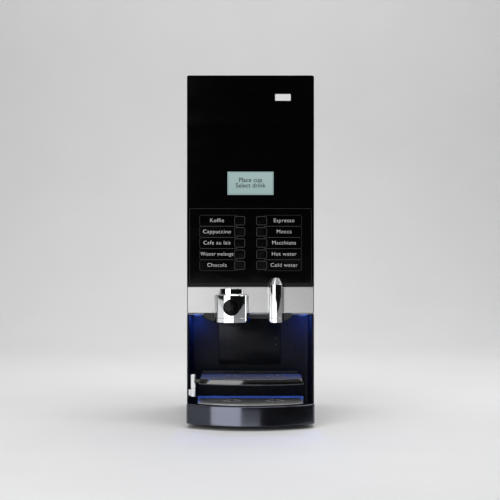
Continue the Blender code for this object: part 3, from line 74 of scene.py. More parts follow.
FRONT_Y = PANEL_LOW.y
GAP = 0.0003  # between two parts that fit together
DOOR_BOTTOM = BAND_LOW.z - GAP
HALF_WIDTH = PANEL_HIGH.x

# --- Sizes of what the frame doesn't hold --------------------------
# Print, and painted highlight lines
PRINT_AND_HIGHLIGHT_RISE = 0.00010  # how far print and painted highlight lines stand off their surface
LINE = 0.0006  # width of a printed line, and of the painted highlight line round the keypad
THINNER = 0.010  # how much each letter stroke is drawn in, as a share of its size
LETTER_SPACING = 1.10

# Door panel, plate and keypad
PANEL_CORNER = 0.005
KEYPAD_CORNER = 0.002
PLATE_PLACE = (0.0855, 0.866)
PLATE_SIZE = (0.041, 0.0175)
PLATE_THICK = 0.0007
PLATE_CORNER = 0.0012
BORDER_INSET = 0.0011  # from the keypad's edge to its border line, which is a painted highlight
BORDER_CORNER = 0.0014
# Each button's ring is a painted highlight: a grey line in place of the light along the cap's rounded edge.
RING_LINE = 0.0009
RING_X, RING_Z, RING_CORNER = 0.0136, 0.0111, 0.0048  # half width, half height, corner
WINDOW_WIDTH = 0.1055
WINDOW_HEIGHT = 0.0285
WINDOW_CORNER = 0.0055
WINDOW_CLEAR = 0.0001  # keeps the window lines on the web between two buttons
FACE_START = 0.0152  # from a button's middle to the dark face of its window
FACE_CORNER = 0.0045
LABEL_CENTRE = 0.0884
LABEL_RISE = 0.0004
LABEL_SIZE = 0.0142
LABEL_WIDEST = 0.086
LEFT_LABELS = ("Koffie", "Cappuccino", "Cafe au lait", "Wiener melange", "Chocola")
RIGHT_LABELS = ("Espresso", "Mocca", "Macchiato", "Hot water", "Cold water")

# Display
DISPLAY_FLANGE = 0.006
DISPLAY_CORNER = 0.0015
FRAME_MARGIN = 0.0022  # from the edge of the screen to the thin line round its words
FRAME_CORNER = 0.0008
FRAME_LINE = 0.0004
DISPLAY_LINES = ("Place cup", "Select drink")
WORDS_SIZE = 0.0165
WORDS_PITCH = 0.0145
WORDS_RISE = 0.0085  # height of the first line of words above the middle
WORDS_BOLDER = 0.012

# Spout covers and badge
SPOUT_WALL = 0.0015
GROOVE_RISE = 0.0119  # ring groove above the bottom of a spout cover
GROOVE_RADIUS = 0.0009
CAP_RADIUS = 0.0415
CAP_STEP = 0.0150  # height of the coffee cover's cap above its shoulder
BADGE_RADIUS = 0.022
BADGE_Z = 0.313

# Niche
PAD_FROM_END = 0.013  # from the light bar's end to the middle of its lamp pad
PAD_REACH = 0.009
PAD_FRONT, PAD_BACK = 0.002, 0.011  # behind the light bar's front
PAD_DROP, PAD_SUNK = 0.0010, 0.0005  # below the light bar, and up into it
SENSOR_PLACES = ((-0.0614, 0.2202), (0.0705, 0.2202), (0.0705, 0.2023))
SENSOR_RADIUS = 0.0017
SENSOR_SWELL = 0.6  # a sensor's dome, as a share of its radius
LEDGE_LOW, LEDGE_HIGH = 0.0868, 0.0902
LEDGE_DEPTH, LEDGE_SUNK = 0.0030, 0.0002

# Cup stand, drip tray and grids
CUP_PLACES = (-0.050, 0.065)
CUP_SLOTS = 8
CUP_WEB = 7.5  # degrees from a slot's end to the middle of the web beside it
CUP_RING = 0.0260
CUP_SLOT = 0.0120
CUP_BEHIND = 0.028  # behind the door's front plane
STAND_RIM = 0.0045
STAND_HEIGHT = 0.016
STAND_BOW = 0.0296
STAND_CORNER = 0.010
# The stand's nosing from its bottom up: (how far it lies inwards, height above the bottom)
STAND_NOSING = (
    (0.0022, 0.0),
    (0.0010, 0.0004),
    (0.0003, 0.0012),
    (0.0, 0.0026),
    (0.0003, 0.0050),
    (0.0009, 0.0078),
    (0.0017, 0.0106),
    (0.0026, 0.0134),
    (0.0031, 0.0148),
    (0.0036, 0.0157),
    (0.0040, STAND_HEIGHT),
)
SLEEVE_RADIUS = 0.0075
SLEEVE_HEIGHT = 0.0369
SLEEVE_CAP = 0.0025
POST_BORE = 0.0048
TRAY_BOW = 0.055
TRAY_CORNER = 0.014
TRAY_BACK_CORNER = 0.012
TRAY_WALL = 0.0025
TRAY_LEAN = 0.0060  # how far the tray's front leans back over its height
TRAY_FROM_LINER = 0.0032
TRAY_STEP = 0.001  # where the tray grows narrower, ahead of the door's front plane
GRID_CORNER = 0.010
GRID_HALF = 0.138  # half width where the drip grid's bow starts
GRID_SIDE = 0.0225  # how far ahead of the door's front plane that is

# Screws
SCREW_RADIUS, SCREW_HEIGHT, SCREW_SUNK = 0.0034, 0.0004, 0.0003
BACK_SCREW_HEIGHTS = (BACK_LOW.z + 0.010, 0.30, 0.52, 0.72, BACK_HIGH.z - 0.010)
BACK_SCREW_INSET = 0.008
SIDE_SCREW_HEIGHTS = (0.150, 0.330, 0.560, 0.800)
SIDE_SCREW_REAR = 0.012  # ahead of the back panel's outer face
SIDE_SCREW_FRONT_BY_DOOR, SIDE_SCREW_FRONT_BELOW = -0.100, -0.140
SCREW_SEED = 7

CUT_OVER = 0.02  # how far a cutter reaches past the surface that it opens


# --- Materials -----------------------------------------------------
def set_sockets(node, **values):
    """Sets a node's inputs by name, with underscores for spaces."""
    for socket, value in values.items():
        title = socket.replace("_", " ").title().replace("Ior", "IOR")
        node.inputs[title].default_value = value
    return node


class Finish:
    """A node material on one Principled shader, with its texture space in metres."""

    def __init__(self, name, **sockets):
        self.material = bpy.data.materials.new(name)
        self.material.use_nodes = True
        self.tree = self.material.node_tree
        self.shader = self.tree.nodes["Principled BSDF"]
        set_sockets(self.shader, **sockets)
        self.space = self.tree.nodes.new("ShaderNodeTexCoord").outputs["Object"]

    def link(self, output, target):
        self.tree.links.new(output, target)

    def node(self, kind, **values):
        return set_sockets(self.tree.nodes.new("ShaderNode" + kind), **values)

    def noise(self, scale, detail=3.0, stretch=(1, 1, 1), roughness=0.5):
        mapping = self.node("Mapping", scale=stretch)
        node = self.node("TexNoise", scale=scale, detail=detail, roughness=roughness)
        self.link(self.space, mapping.inputs["Vector"])
        self.link(mapping.outputs["Vector"], node.inputs["Vector"])
        return node.outputs["Fac"]

    def cells(self, scale, feature="F1", output="Distance"):
        node = self.node("TexVoronoi", scale=scale)
        node.feature = feature
        self.link(self.space, node.inputs["Vector"])
        return node.outputs[output]

    def spread(self, source, low, high, start=0.3, end=0.7):
        node = self.node("MapRange", from_min=start, from_max=end, to_min=low, to_max=high)
        self.link(source, node.inputs["Value"])
        return node.outputs["Result"]

    def maths(self, operation, first, second):
        node = self.node("Math")
        node.operation = operation
        for socket, value in zip(node.inputs, (first, second)):
            if isinstance(value, (int, float)):
                socket.default_value = value
            else:
                self.link(value, socket)
        return node.outputs["Value"]

    def ramp(self, source, *stops):
        node = self.node("ValToRGB")
        elements = node.color_ramp.elements
        while len(elements) < len(stops):
            elements.new(0.5)
        for element, (place, colour) in zip(elements, stops):
            element.position = place
            element.color = (*colour, 1.0)
        self.link(source, node.inputs["Fac"])
        return node.outputs["Color"]

    def axis(self, index):
        node = self.node("SeparateXYZ")
        self.link(self.space, node.inputs["Vector"])
        return node.outputs[index]

    def colour(self, source):
        self.link(source, self.shader.inputs["Base Color"])

    def roughness(self, source):
        self.link(source, self.shader.inputs["Roughness"])

    def bump(self, height, distance, strength=1.0):
        node = self.node("Bump", distance=distance, strength=strength)
        self.link(height, node.inputs["Height"])
        previous = self.shader.inputs["Normal"].links
        if previous:
            self.link(previous[0].from_socket, node.inputs["Normal"])
        self.link(node.outputs["Normal"], self.shader.inputs["Normal"])


GRAIN = (0.012, 1, 1)  # stretches a noise into streaks along X
COAT_ROUGHNESS, COAT_IOR = 0.10, 1.8


def scaled(colour, factor):
    return tuple(min(1.0, channel * factor) for channel in colour)


def toned(finish, colour, swing, scale=22.0, stretch=(1, 1, 1)):
    """Base colour that wanders a little between darker and lighter."""
    drift = finish.noise(scale, 4.0, stretch)
    finish.colour(finish.ramp(drift, (0.3, scaled(colour, 1 - swing)), (0.7, scaled(colour, 1 + swing))))


def gloss_plastic(name, colour, rough=0.07, level=0.5, tint=(1.0, 1.0, 1.0), coat=0.0):
    """Polished plastic or lacquered glass, with faint wiping marks and slight waves."""
    finish = Finish(name, specular_ior_level=level, specular_tint=(*tint, 1.0))
    set_sockets(finish.shader, coat_weight=coat, coat_roughness=COAT_ROUGHNESS, coat_ior=COAT_IOR)
    toned(finish, colour, 0.25, 35.0)
    wipes = finish.noise(9.0, 5.0, (1, 1, 3))
    finish.roughness(finish.spread(wipes, rough * 0.7, rough * 1.6))
    finish.bump(finish.noise(14.0, 2.0), 0.00006, 0.25)
    return finish.material


def moulded_plastic(name, colour, rough=0.42, grain=1400.0, depth=0.00006, level=0.5):
    """Plastic from a spark-eroded mould: a fine even grain."""
    finish = Finish(name, specular_ior_level=level)
    toned(finish, colour, 0.14, 30.0)
    finish.roughness(finish.spread(finish.noise(60.0, 4.0), rough - 0.06, rough + 0.08))
    finish.bump(finish.noise(grain, 2.0), depth, 0.5)
    return finish.material


def powder_coat(name, colour, rough=0.5):
    """Powder coat on sheet metal: orange peel over a fine grit."""
    finish = Finish(name)
    toned(finish, colour, 0.18, 12.0)
    finish.roughness(finish.spread(finish.noise(90.0, 3.0), rough - 0.07, rough + 0.08))
    finish.bump(finish.cells(520.0, "SMOOTH_F1"), 0.00010, 0.45)
    finish.bump(finish.noise(2600.0, 2.0), 0.00003, 0.4)
    return finish.material


def brushed_metal(name, colour, rough=0.3, depth=0.00003, swing=0.12):
    """Sheet brushed along X, with the streaks in its colour, gloss and surface."""
    finish = Finish(name, metallic=1.0, anisotropic=0.5)
    streaks = finish.noise(2200.0, 5.0, GRAIN, 0.65)
    drift = finish.noise(8.0, 3.0)
    streak_share = finish.maths("MULTIPLY", streaks, 0.75)
    both = finish.maths("ADD", streak_share, finish.maths("MULTIPLY", drift, 0.25))
    finish.colour(finish.ramp(both, (0.3, scaled(colour, 1 - swing)), (0.7, scaled(colour, 1 + swing))))
    finish.roughness(finish.spread(streaks, rough - 0.07, rough + 0.10))
    finish.bump(streaks, depth, 0.35)
    return finish.material


def satin_plate(name, colour, metal):
    """Lacquered metal sheet: a satin film over a fine tooth."""
    finish = Finish(name, metallic=metal, specular_ior_level=0.6)
    toned(finish, colour, 0.08, 18.0)
    finish.roughness(finish.spread(finish.noise(40.0, 4.0), 0.18, 0.26))
    finish.bump(finish.noise(1600.0, 2.0), 0.00002, 0.3)
    return finish.material


def polished_metal(name, colour, rough=0.03):
    """Chrome plate: a mirror with a trace of haze and wiping marks."""
    finish = Finish(name, metallic=1.0)
    toned(finish, colour, 0.02, 20.0)
    haze = finish.noise(26.0, 6.0, (1, 1, 0.4))
    finish.roughness(finish.spread(haze, rough * 0.6, rough * 2.2, 0.35, 0.8))
    finish.bump(finish.noise(40.0, 2.0), 0.00002, 0.15)
    return finish.material


def zinc_plate(name):
    """Galvanised sheet, with its frost of large dull crystals."""
    finish = Finish(name, metallic=0.9)
    crystals = finish.cells(110.0, "F1", "Color")
    grey = finish.node("SeparateColor")
    finish.link(crystals, grey.inputs["Color"])
    finish.colour(finish.ramp(grey.outputs["Red"], (0.0, (0.44, 0.46, 0.48)), (1.0, (0.60, 0.61, 0.62))))
    finish.roughness(finish.spread(grey.outputs["Green"], 0.36, 0.52, 0.0, 1.0))
    finish.bump(finish.noise(700.0, 3.0), 0.00004, 0.3)
    return finish.material


def soft_rubber(name):
    finish = Finish(name, specular_ior_level=0.3)
    toned(finish, (0.022, 0.022, 0.022), 0.3, 60.0)
    finish.roughness(finish.spread(finish.noise(120.0, 3.0), 0.72, 0.88))
    finish.bump(finish.noise(1800.0, 2.0), 0.0001, 0.5)
    return finish.material


def foam_jacket(name):
    finish = Finish(name, specular_ior_level=0.2)
    toned(finish, (0.060, 0.060, 0.064), 0.3, 80.0)
    finish.roughness(finish.spread(finish.noise(200.0, 3.0), 0.8, 0.95))
    finish.bump(finish.cells(900.0), 0.0004, 0.6)
    return finish.material


def milky_plastic(name, colour, rough=0.32):
    """Natural polypropylene: waxy, and light soaks into it."""
    finish = Finish(name, subsurface_weight=0.35, subsurface_scale=0.004)
    toned(finish, colour, 0.05, 25.0)
    finish.roughness(finish.spread(finish.noise(50.0, 4.0), rough - 0.05, rough + 0.08))
    finish.bump(finish.noise(500.0, 3.0), 0.00005, 0.35)
    return finish.material


def lit_display(name):
    """A backlit character display: fine dots, brighter towards the top."""
    finish = Finish(name, roughness=0.12, emission_strength=0.80, specular_ior_level=0.3)
    dots = finish.node("TexChecker", scale=1500.0)
    finish.link(finish.space, dots.inputs["Vector"])
    rise = finish.spread(finish.axis(2), 0.0, 1.0, DISPLAY_LOW.z, DISPLAY_HIGH.z)
    patches = finish.noise(30.0, 3.0)
    blend = finish.maths("ADD", finish.maths("MULTIPLY", rise, 0.7), finish.maths("MULTIPLY", patches, 0.3))
    blend = finish.maths("ADD", blend, finish.maths("MULTIPLY", dots.outputs["Fac"], 0.06))
    colour = finish.ramp(blend, (0.0, (0.285, 0.395, 0.385)), (1.0, (0.355, 0.480, 0.470)))
    finish.link(colour, finish.shader.inputs["Emission Color"])
    set_sockets(finish.shader, base_color=(0.08, 0.11, 0.11, 1.0))
    return finish.material


def lamp_window(name, strength, dim, bright):
    """A diffuser with lamps near its two ends, where it is brightest."""
    finish = Finish(name, roughness=0.35, emission_strength=strength)
    outward = finish.maths("ABSOLUTE", finish.axis(0), 0.0)
    ends = finish.spread(outward, 0.0, 1.0, 0.120, LIGHT_HIGH.x - 0.006)
    dots = finish.noise(400.0, 2.0)
    level = finish.maths("MULTIPLY", ends, finish.spread(dots, 0.85, 1.0))
    glow = finish.ramp(level, (0.0, (0.0, 0.0, 0.0)), (0.5, dim), (1.0, bright))
    finish.link(glow, finish.shader.inputs["Emission Color"])
    set_sockets(finish.shader, base_color=(0.02, 0.03, 0.10, 1.0))
    return finish.material


def print_and_highlight_finish(name, colour):
    """Screen-printed ink, dull and almost even; the same finish paints the grey highlight lines round the
    keypad and on its buttons.
    """
    finish = Finish(name, specular_ior_level=0.25)
    toned(finish, colour, 0.08, 200.0)
    finish.roughness(finish.spread(finish.noise(600.0, 2.0), 0.45, 0.6))
    return finish.material


GLOSS_BLACK = gloss_plastic("gloss_black", (0.0012, 0.0012, 0.0014), 0.07, 0.28)
# Its reflections are tinted blue: a painted blue cast on the tray's highlights.
TRAY_BLACK = gloss_plastic("tray_black", (0.0040, 0.0040, 0.0045), 0.12, 1.0, (0.66, 0.72, 1.0), 0.30)
STAND_BLACK = gloss_plastic("stand_black", (0.0030, 0.0030, 0.0036), 0.08, 1.0)
KEYPAD_BLACK = gloss_plastic("keypad_black", (0.0013, 0.0013, 0.0013), 0.07, 0.2)
WINDOW_BLACK = gloss_plastic("window_black", (0.0008, 0.0008, 0.0008), 0.10, 0.2)
BUTTON_BLACK = moulded_plastic("button_black", (0.0012, 0.0012, 0.0012), 0.16, 2600.0, 0.00001, 0.15)
SPLASH_BLACK = moulded_plastic("splash_black", (0.0070, 0.0070, 0.0072), 0.22, 2400.0, 0.00001, 0.12)
SATIN_BLACK = moulded_plastic("satin_black", (0.012, 0.012, 0.014), 0.40)
LINER_BLACK = moulded_plastic("liner_black", (0.0045, 0.0052, 0.0085), 0.30, 1400.0, 0.00002, 0.12)
PAINTED_BLACK = powder_coat("painted_black", (0.014, 0.014, 0.015))
STEEL = brushed_metal("brushed_steel", (0.70, 0.70, 0.70))
BAND_STEEL = brushed_metal("band_steel", (0.56, 0.56, 0.56), 0.33, 0.00001, 0.04)
# The two grids are one steel in two colours: the stand's is painted darker for its dim reflection, and the
# drip tray's is painted lighter against the shade under the stand.
STAND_GRID_STEEL_PAINTED_DARKER = satin_plate("stand_grid_steel_painted_darker", (0.32, 0.32, 0.33), 0.5)
DRIP_GRID_STEEL_PAINTED_LIGHTER = satin_plate("drip_grid_steel_painted_lighter", (0.74, 0.74, 0.75), 0.25)
CHROME = polished_metal("chrome", (0.86, 0.87, 0.88))
ZINC = zinc_plate("zinc_sheet")
DARK_PLASTIC = moulded_plastic("dark_plastic", (0.028, 0.028, 0.030), 0.45)
CANISTER_PLASTIC = milky_plastic("canister_plastic", (0.62, 0.63, 0.64), 0.28)
BOWL_PLASTIC = milky_plastic("bowl_plastic", (0.70, 0.67, 0.62))
RUBBER = soft_rubber("rubber")
JACKET = foam_jacket("boiler_jacket")
SCREEN = lit_display("screen")
LED_FACE = lamp_window("light_bar_face", 0.9, (0.010, 0.03, 0.22), (0.07, 0.20, 1.0))
LED_DOWN = lamp_window("light_bar_underside", 1200.0, (0.006, 0.03, 0.15), (0.040, 0.155, 1.0))
PAD_WHITE = moulded_plastic("lamp_pad_white", (0.45, 0.45, 0.45))
LINE_PRINT_AND_HIGHLIGHT = print_and_highlight_finish("line_print_and_painted_highlight", (0.034, 0.034, 0.035))
RING_PAINTED_HIGHLIGHT = print_and_highlight_finish("ring_painted_highlight", (0.050, 0.050, 0.051))
LABEL_INK = print_and_highlight_finish("label_ink", (0.62, 0.62, 0.63))
DISPLAY_INK = print_and_highlight_finish("display_ink", (0.030, 0.045, 0.050))
PLATE_SILVER = brushed_metal("plate_silver", (0.84, 0.84, 0.84), 0.5)
STEEL_DARK = polished_metal("blackened_screw", (0.10, 0.10, 0.105), 0.22)
BADGE_BLACK = gloss_plastic("badge_black", (0.0015, 0.0015, 0.0015), 0.12, 0.10)
LENS = gloss_plastic("sensor_lens", (0.110, 0.062, 0.030), 0.08)

SLOT_FINISH = {
    "gloss_black": GLOSS_BLACK,
    "satin_black": SATIN_BLACK,
    "painted_black": PAINTED_BLACK,
    "zinc_sheet": ZINC,
    "brushed_steel": STEEL,
    "chrome": CHROME,
    "screen": SCREEN,
    "light_bar": LED_FACE,
    "canister_plastic": CANISTER_PLASTIC,
    "bowl_plastic": BOWL_PLASTIC,
    "dark_plastic": DARK_PLASTIC,
    "rubber": RUBBER,
    "boiler_jacket": JACKET,
}
NODE_FINISH = {
    "keypad_panel": KEYPAD_BLACK,
    "niche_liner": LINER_BLACK,
    "splash_panel": SPLASH_BLACK,
    "stand_grid": STAND_GRID_STEEL_PAINTED_DARKER,
    "drip_grid": DRIP_GRID_STEEL_PAINTED_LIGHTER,
    "stand_post": CHROME,
    "steel_band": BAND_STEEL,
}
NODE_FINISH.update({node: BUTTON_BLACK for node in NODES if node.startswith("button_")})


# --- Shape helpers -------------------------------------------------
def mesh_from(bm, name):
    mesh = bpy.data.meshes.new(name)
    bm.to_mesh(mesh)
    bm.free()
    return mesh


def new_object(name, data):
    obj = bpy.data.objects.new(name, data)
    bpy.context.scene.collection.objects.link(obj)
    return obj


def evaluated_mesh(obj):
    return bpy.data.meshes.new_from_object(obj.evaluated_get(bpy.context.evaluated_depsgraph_get()))


def place(name, mesh, finish, body, slot=None):
    """A new piece that rides on a body."""
    obj = new_object(name, mesh)
    mesh.materials.clear()
    for material in finish if isinstance(finish, tuple) else (finish,):
        mesh.materials.append(material)
    if body:
        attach(obj, body)
    return obj


def smooth(obj, angle=35):
    obj.data.shade_smooth()
    obj.data.set_sharp_from_angle(angle=math.radians(angle))


def level_shading(obj):
    """Shades large faces flat and lets the narrow ones take the turn between them."""
    weighted = obj.modifiers.new("shading", "WEIGHTED_NORMAL")
    weighted.keep_sharp = True
    weighted.weight = 90


def rounded_edges(obj, width, segments=2, angle=35):
    bevel = obj.modifiers.new("edges", "BEVEL")
    bevel.width = width
    bevel.segments = segments
    bevel.limit_method = "ANGLE"
    bevel.angle_limit = math.radians(angle)
    bevel.harden_normals = True
    bevel.miter_outer = "MITER_ARC"


def skinned(node, width, segments=2, angle=35):
    """The CAD node's shape with its flat faces whole and its edges rounded, shown in its place."""
    bm = bmesh.new()
    bm.from_mesh(NODES[node].data)
    bmesh.ops.remove_doubles(bm, verts=bm.verts, dist=2e-6)
    bmesh.ops.dissolve_limit(bm, angle_limit=math.radians(0.5), verts=bm.verts, edges=bm.edges)
    mesh = mesh_from(bm, node + "_skin")
    finish = NODE_FINISH.get(node, SLOT_FINISH[SLOT_OF[node]])
    skin = place(node + "_skin", mesh, finish, BODY_OF[node], SLOT_OF[node])
    smooth(skin, angle)
    if width:
        rounded_edges(skin, width, segments, angle)
        level_shading(skin)
    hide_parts(node)
    return skin


def arc(centre, radius, start, end, steps):
    angles = (math.radians(start + (end - start) * i / steps) for i in range(steps + 1))
    return [(centre[0] + radius * math.cos(a), centre[1] + radius * math.sin(a)) for a in angles]


def rounded(us, vs, radius, steps=6):
    corners = ((us[0], vs[0], 180), (us[1], vs[0], 270), (us[1], vs[1], 0), (us[0], vs[1], 90))
    points = []
    for u, v, start in corners:
        centre = (u + radius if u == us[0] else u - radius, v + radius if v == vs[0] else v - radius)
        points += arc(centre, radius, start, start + 90, steps)
    return points


def grown(low, high, by):
    """The x and z ranges of a box, grown on all sides."""
    return (low.x - by, high.x + by), (low.z - by, high.z + by)


def sheet_mesh(name, outlines, low, high, front):
    """A flat sheet that faces -Y, from outlines in (x, z). The first is its edge, the others are holes."""
    curve = bpy.data.curves.new(name, "CURVE")
    curve.dimensions = "2D"
    curve.fill_mode = "BOTH"
    curve.extrude = (high - low) / 2
    for outline in outlines:
        spline = curve.splines.new("POLY")
        spline.points.add(len(outline) - 1)
        for point, (u, v) in zip(spline.points, outline):
            point.co = (u, v, 0, 1)
        spline.use_cyclic_u = True
    return curve_mesh(name, curve, front, (low + high) / 2)


def curve_mesh(name, curve, front, level):
    """The mesh of a flat curve, turned to face -Y where front is set, at that level along its normal."""
    guide = new_object(name + "_guide", curve)
    mesh = evaluated_mesh(guide)
    bpy.data.objects.remove(guide)
    mesh.name = name
    if front:
        mesh.transform(Matrix.Translation((0, level, 0)) @ Matrix.Rotation(math.pi / 2, 4, "X"))
    else:
        mesh.transform(Matrix.Translation((0, 0, level)))
    bm = bmesh.new()
    bm.from_mesh(mesh)
    bmesh.ops.remove_doubles(bm, verts=bm.verts, dist=1e-6)
    bmesh.ops.recalc_face_normals(bm, faces=bm.faces)
    bm.to_mesh(mesh)
    bm.free()
    return mesh


def stroke(points, width, closed=True):
    """Outlines of a line of that width along points: two loops where it is closed, or else one."""
    count = len(points)
    sides = ([], [])
    for i, point in enumerate(points):
        before = points[i - 1] if closed or i else point
        after = points[(i + 1) % count] if closed or i < count - 1 else point
        along = Vector((after[0] - before[0], after[1] - before[1])).normalized()
        for side, sign in zip(sides, (1, -1)):
            side.append((point[0] - along.y * sign * width / 2, point[1] + along.x * sign * width / 2))
    if closed:
        return list(sides)
    return [sides[0] + sides[1][::-1]]


def front_print_and_highlight(name, outlines, surface, finish, body):
    mesh = sheet_mesh(name, outlines, surface - PRINT_AND_HIGHLIGHT_RISE, surface, True)
    return place(name, mesh, finish, body)


def lettering(name, words, size, centre, surface, finish, body, widest=None, thinner=0.0, spacing=1.0):
    """Words set flat on a surface that faces -Y, centred on (x, z)."""
    font = bpy.data.curves.new(name, "FONT")
    font.body = words
    font.size = size
    font.align_x = "CENTER"
    font.align_y = "CENTER"
    font.extrude = PRINT_AND_HIGHLIGHT_RISE / 2
    font.resolution_u = 6
    font.offset = -size * thinner
    font.space_character = spacing
    mesh = curve_mesh(name, font, True, surface - PRINT_AND_HIGHLIGHT_RISE / 2)
    xs = [vertex.co.x for vertex in mesh.vertices]
    squeeze = min(1.0, widest / (max(xs) - min(xs))) if widest else 1.0
    mesh.transform(Matrix.Translation((centre[0], 0, centre[1])) @ Matrix.Diagonal((squeeze, 1, 1, 1)))
    return place(name, mesh, finish, body)


def lathe_mesh(name, profile, centre, steps):
    """A closed profile of (radius, height) points turned about a vertical line."""
    bm = bmesh.new()
    points = [bm.verts.new((radius, 0, height)) for radius, height in profile]
    edges = [bm.edges.new(pair) for pair in zip(points, points[1:])]
    spin = {"geom": points + edges, "axis": (0, 0, 1), "cent": (0, 0, 0), "angle": math.tau, "steps": steps}
    bmesh.ops.spin(bm, **spin, use_merge=True)
    bmesh.ops.remove_doubles(bm, verts=bm.verts, dist=1e-6)
    bmesh.ops.recalc_face_normals(bm, faces=bm.faces)
    mesh = mesh_from(bm, name)
    mesh.transform(Matrix.Translation(centre))
    return mesh


def block(low, high):
    bm = bmesh.new()
    bmesh.ops.create_cube(bm, size=1.0)
    bmesh.ops.scale(bm, vec=Vector(high) - Vector(low), verts=bm.verts)
    bmesh.ops.translate(bm, vec=(Vector(low) + Vector(high)) / 2, verts=bm.verts)
    return mesh_from(bm, "block")


def carved(mesh, *cutter_meshes):
    """The mesh with each cutter's shape cut away."""
    body = new_object("carved", mesh)
    cutters = [new_object("cutter", cutter_mesh) for cutter_mesh in cutter_meshes]
    for cutter in cutters:
        modifier = body.modifiers.new("cut", "BOOLEAN")
        modifier.operation = "DIFFERENCE"
        modifier.solver = "EXACT"
        modifier.object = cutter
    result = evaluated_mesh(body)
    result.name = mesh.name
    for obj in (body, *cutters):
        bpy.data.objects.remove(obj)
    return result


def lofted(name, rings):
    """A closed solid through level rings of equally many points, from the lowest up: (points, height)."""
    bm = bmesh.new()
    loops = [[bm.verts.new((x, y, z)) for x, y in points] for points, z in rings]
    for low, high in zip(loops, loops[1:]):
        for i in range(len(low)):
            j = (i + 1) % len(low)
            bm.faces.new((low[i], low[j], high[j], high[i]))
    bm.faces.new(loops[0][::-1])
    bm.faces.new(loops[-1])
    bmesh.ops.recalc_face_normals(bm, faces=bm.faces)
    return mesh_from(bm, name)


def bowed(half, back, side, nose, corner, steps=40, middle=0.0, back_half=None):
    """A plan outline with straight sides, rounded corners and a front that bows out to the nose."""
    rise = side - nose
    radius = (half**2 + rise**2) / (2 * rise)
    centre_y = nose + radius
    fillet_x = half - corner
    fillet_y = centre_y - math.sqrt((radius - corner) ** 2 - fillet_x**2)
    meet = math.degrees(math.atan2(fillet_y - centre_y, fillet_x))
    front = arc((0, centre_y), radius, -180 - meet, meet, steps)
    right = arc((fillet_x, fillet_y), corner, meet, 0, 8)[1:]
    left = arc((-fillet_x, fillet_y), corner, -180, -180 - meet, 8)[:-1]
    back_half = back_half or half
    outline = left + front + right + [(back_half, back), (-back_half, back)]
    return [(middle + x, y) for x, y in outline]


# --- Door ----------------------------------------------------------
def inset(profile, wall):
    """The same profile moved inwards by wall, from the axis down to the open bottom."""
    inner = [(0, profile[0][1] - wall)]
    for before, point, after in zip(profile, profile[1:], profile[2:]):
        first = Vector((point[0] - before[0], point[1] - before[1])).normalized()
        second = Vector((after[0] - point[0], after[1] - point[1])).normalized()
        middle = (first + second).normalized()
        reach = wall / middle.dot(first)
        inner.append((point[0] + middle[1] * reach, point[1] - middle[0] * reach))
    return inner + [(profile[-1][0] - wall, profile[-1][1])]


def make_spout_cover(node, low, high, shape, lining):
    """A turned cover with a ring groove near its rim, cut off where it meets the door.

    lining is its outer profile with plain corners, which the inner surface follows.
    """
    radius = (high.x - low.x) / 2
    centre = ((low.x + high.x) / 2, low.y + radius, low.z)
    lip = 0.0007
    groove = arc((radius, GROOVE_RISE), GROOVE_RADIUS, 90, 270, 8)
    outer = shape + groove + [(radius, lip), (radius - lip, 0)]
    inner = inset(lining + [(radius, 0)], SPOUT_WALL)
    profile = outer + inner[::-1]
    mesh = lathe_mesh(node + "_shell", profile, centre, 160)
    far = 1.0
    above = block((-far, FRONT_Y - GAP, DOOR_BOTTOM - GAP), (far, far, far))
    behind = block((-far, high.y, -far), (far, far, DOOR_BOTTOM))
    cover = place(node + "_shell", carved(mesh, above, behind), CHROME, "door", "chrome")
    smooth(cover, 38)
    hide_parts(node)
    return centre, radius


def make_coffee_cover():
    low, high = COFFEE_LOW, COFFEE_HIGH
    radius = (high.x - low.x) / 2
    top = high.z - low.z
    shoulder = top - CAP_STEP
    soft, round_off, chamfer = 0.0012, 0.0050, 0.003
    fillet, foot = 0.0010, 0.0016
    shape = [(0, top)] + arc((CAP_RADIUS - soft, top - soft), soft, 90, 0, 6)
    shape += arc((CAP_RADIUS + foot, shoulder + fillet), fillet, 180, 270, 4)
    shape += arc((radius - round_off, shoulder - round_off), round_off, 90, 0, 12)
    lining = [(0, top), (CAP_RADIUS, top), (CAP_RADIUS, shoulder)]
    lining += [(radius - chamfer, shoulder), (radius, shoulder - chamfer)]
    centre, radius = make_spout_cover("coffee_spout_cover", low, high, shape, lining)
    make_badge(centre, radius)


def make_water_cover():
    low, high = WATER_LOW, WATER_HIGH
    radius = (high.x - low.x) / 2
    top = high.z - low.z
    tip, tip_soft = 0.0105, 0.0010
    cone, cone_soft, cone_drop = 0.0160, 0.0025, 0.0017
    shape = [(0, top)] + arc((tip - tip_soft, top - tip_soft), tip_soft, 90, 20, 5)
    shape += arc((radius - cone_soft, top - cone - cone_drop), cone_soft, 32, 0, 5)
    lining = [(0, top), (tip, top), (radius, top - cone)]
    make_spout_cover("water_spout_cover", low, high, shape, lining)


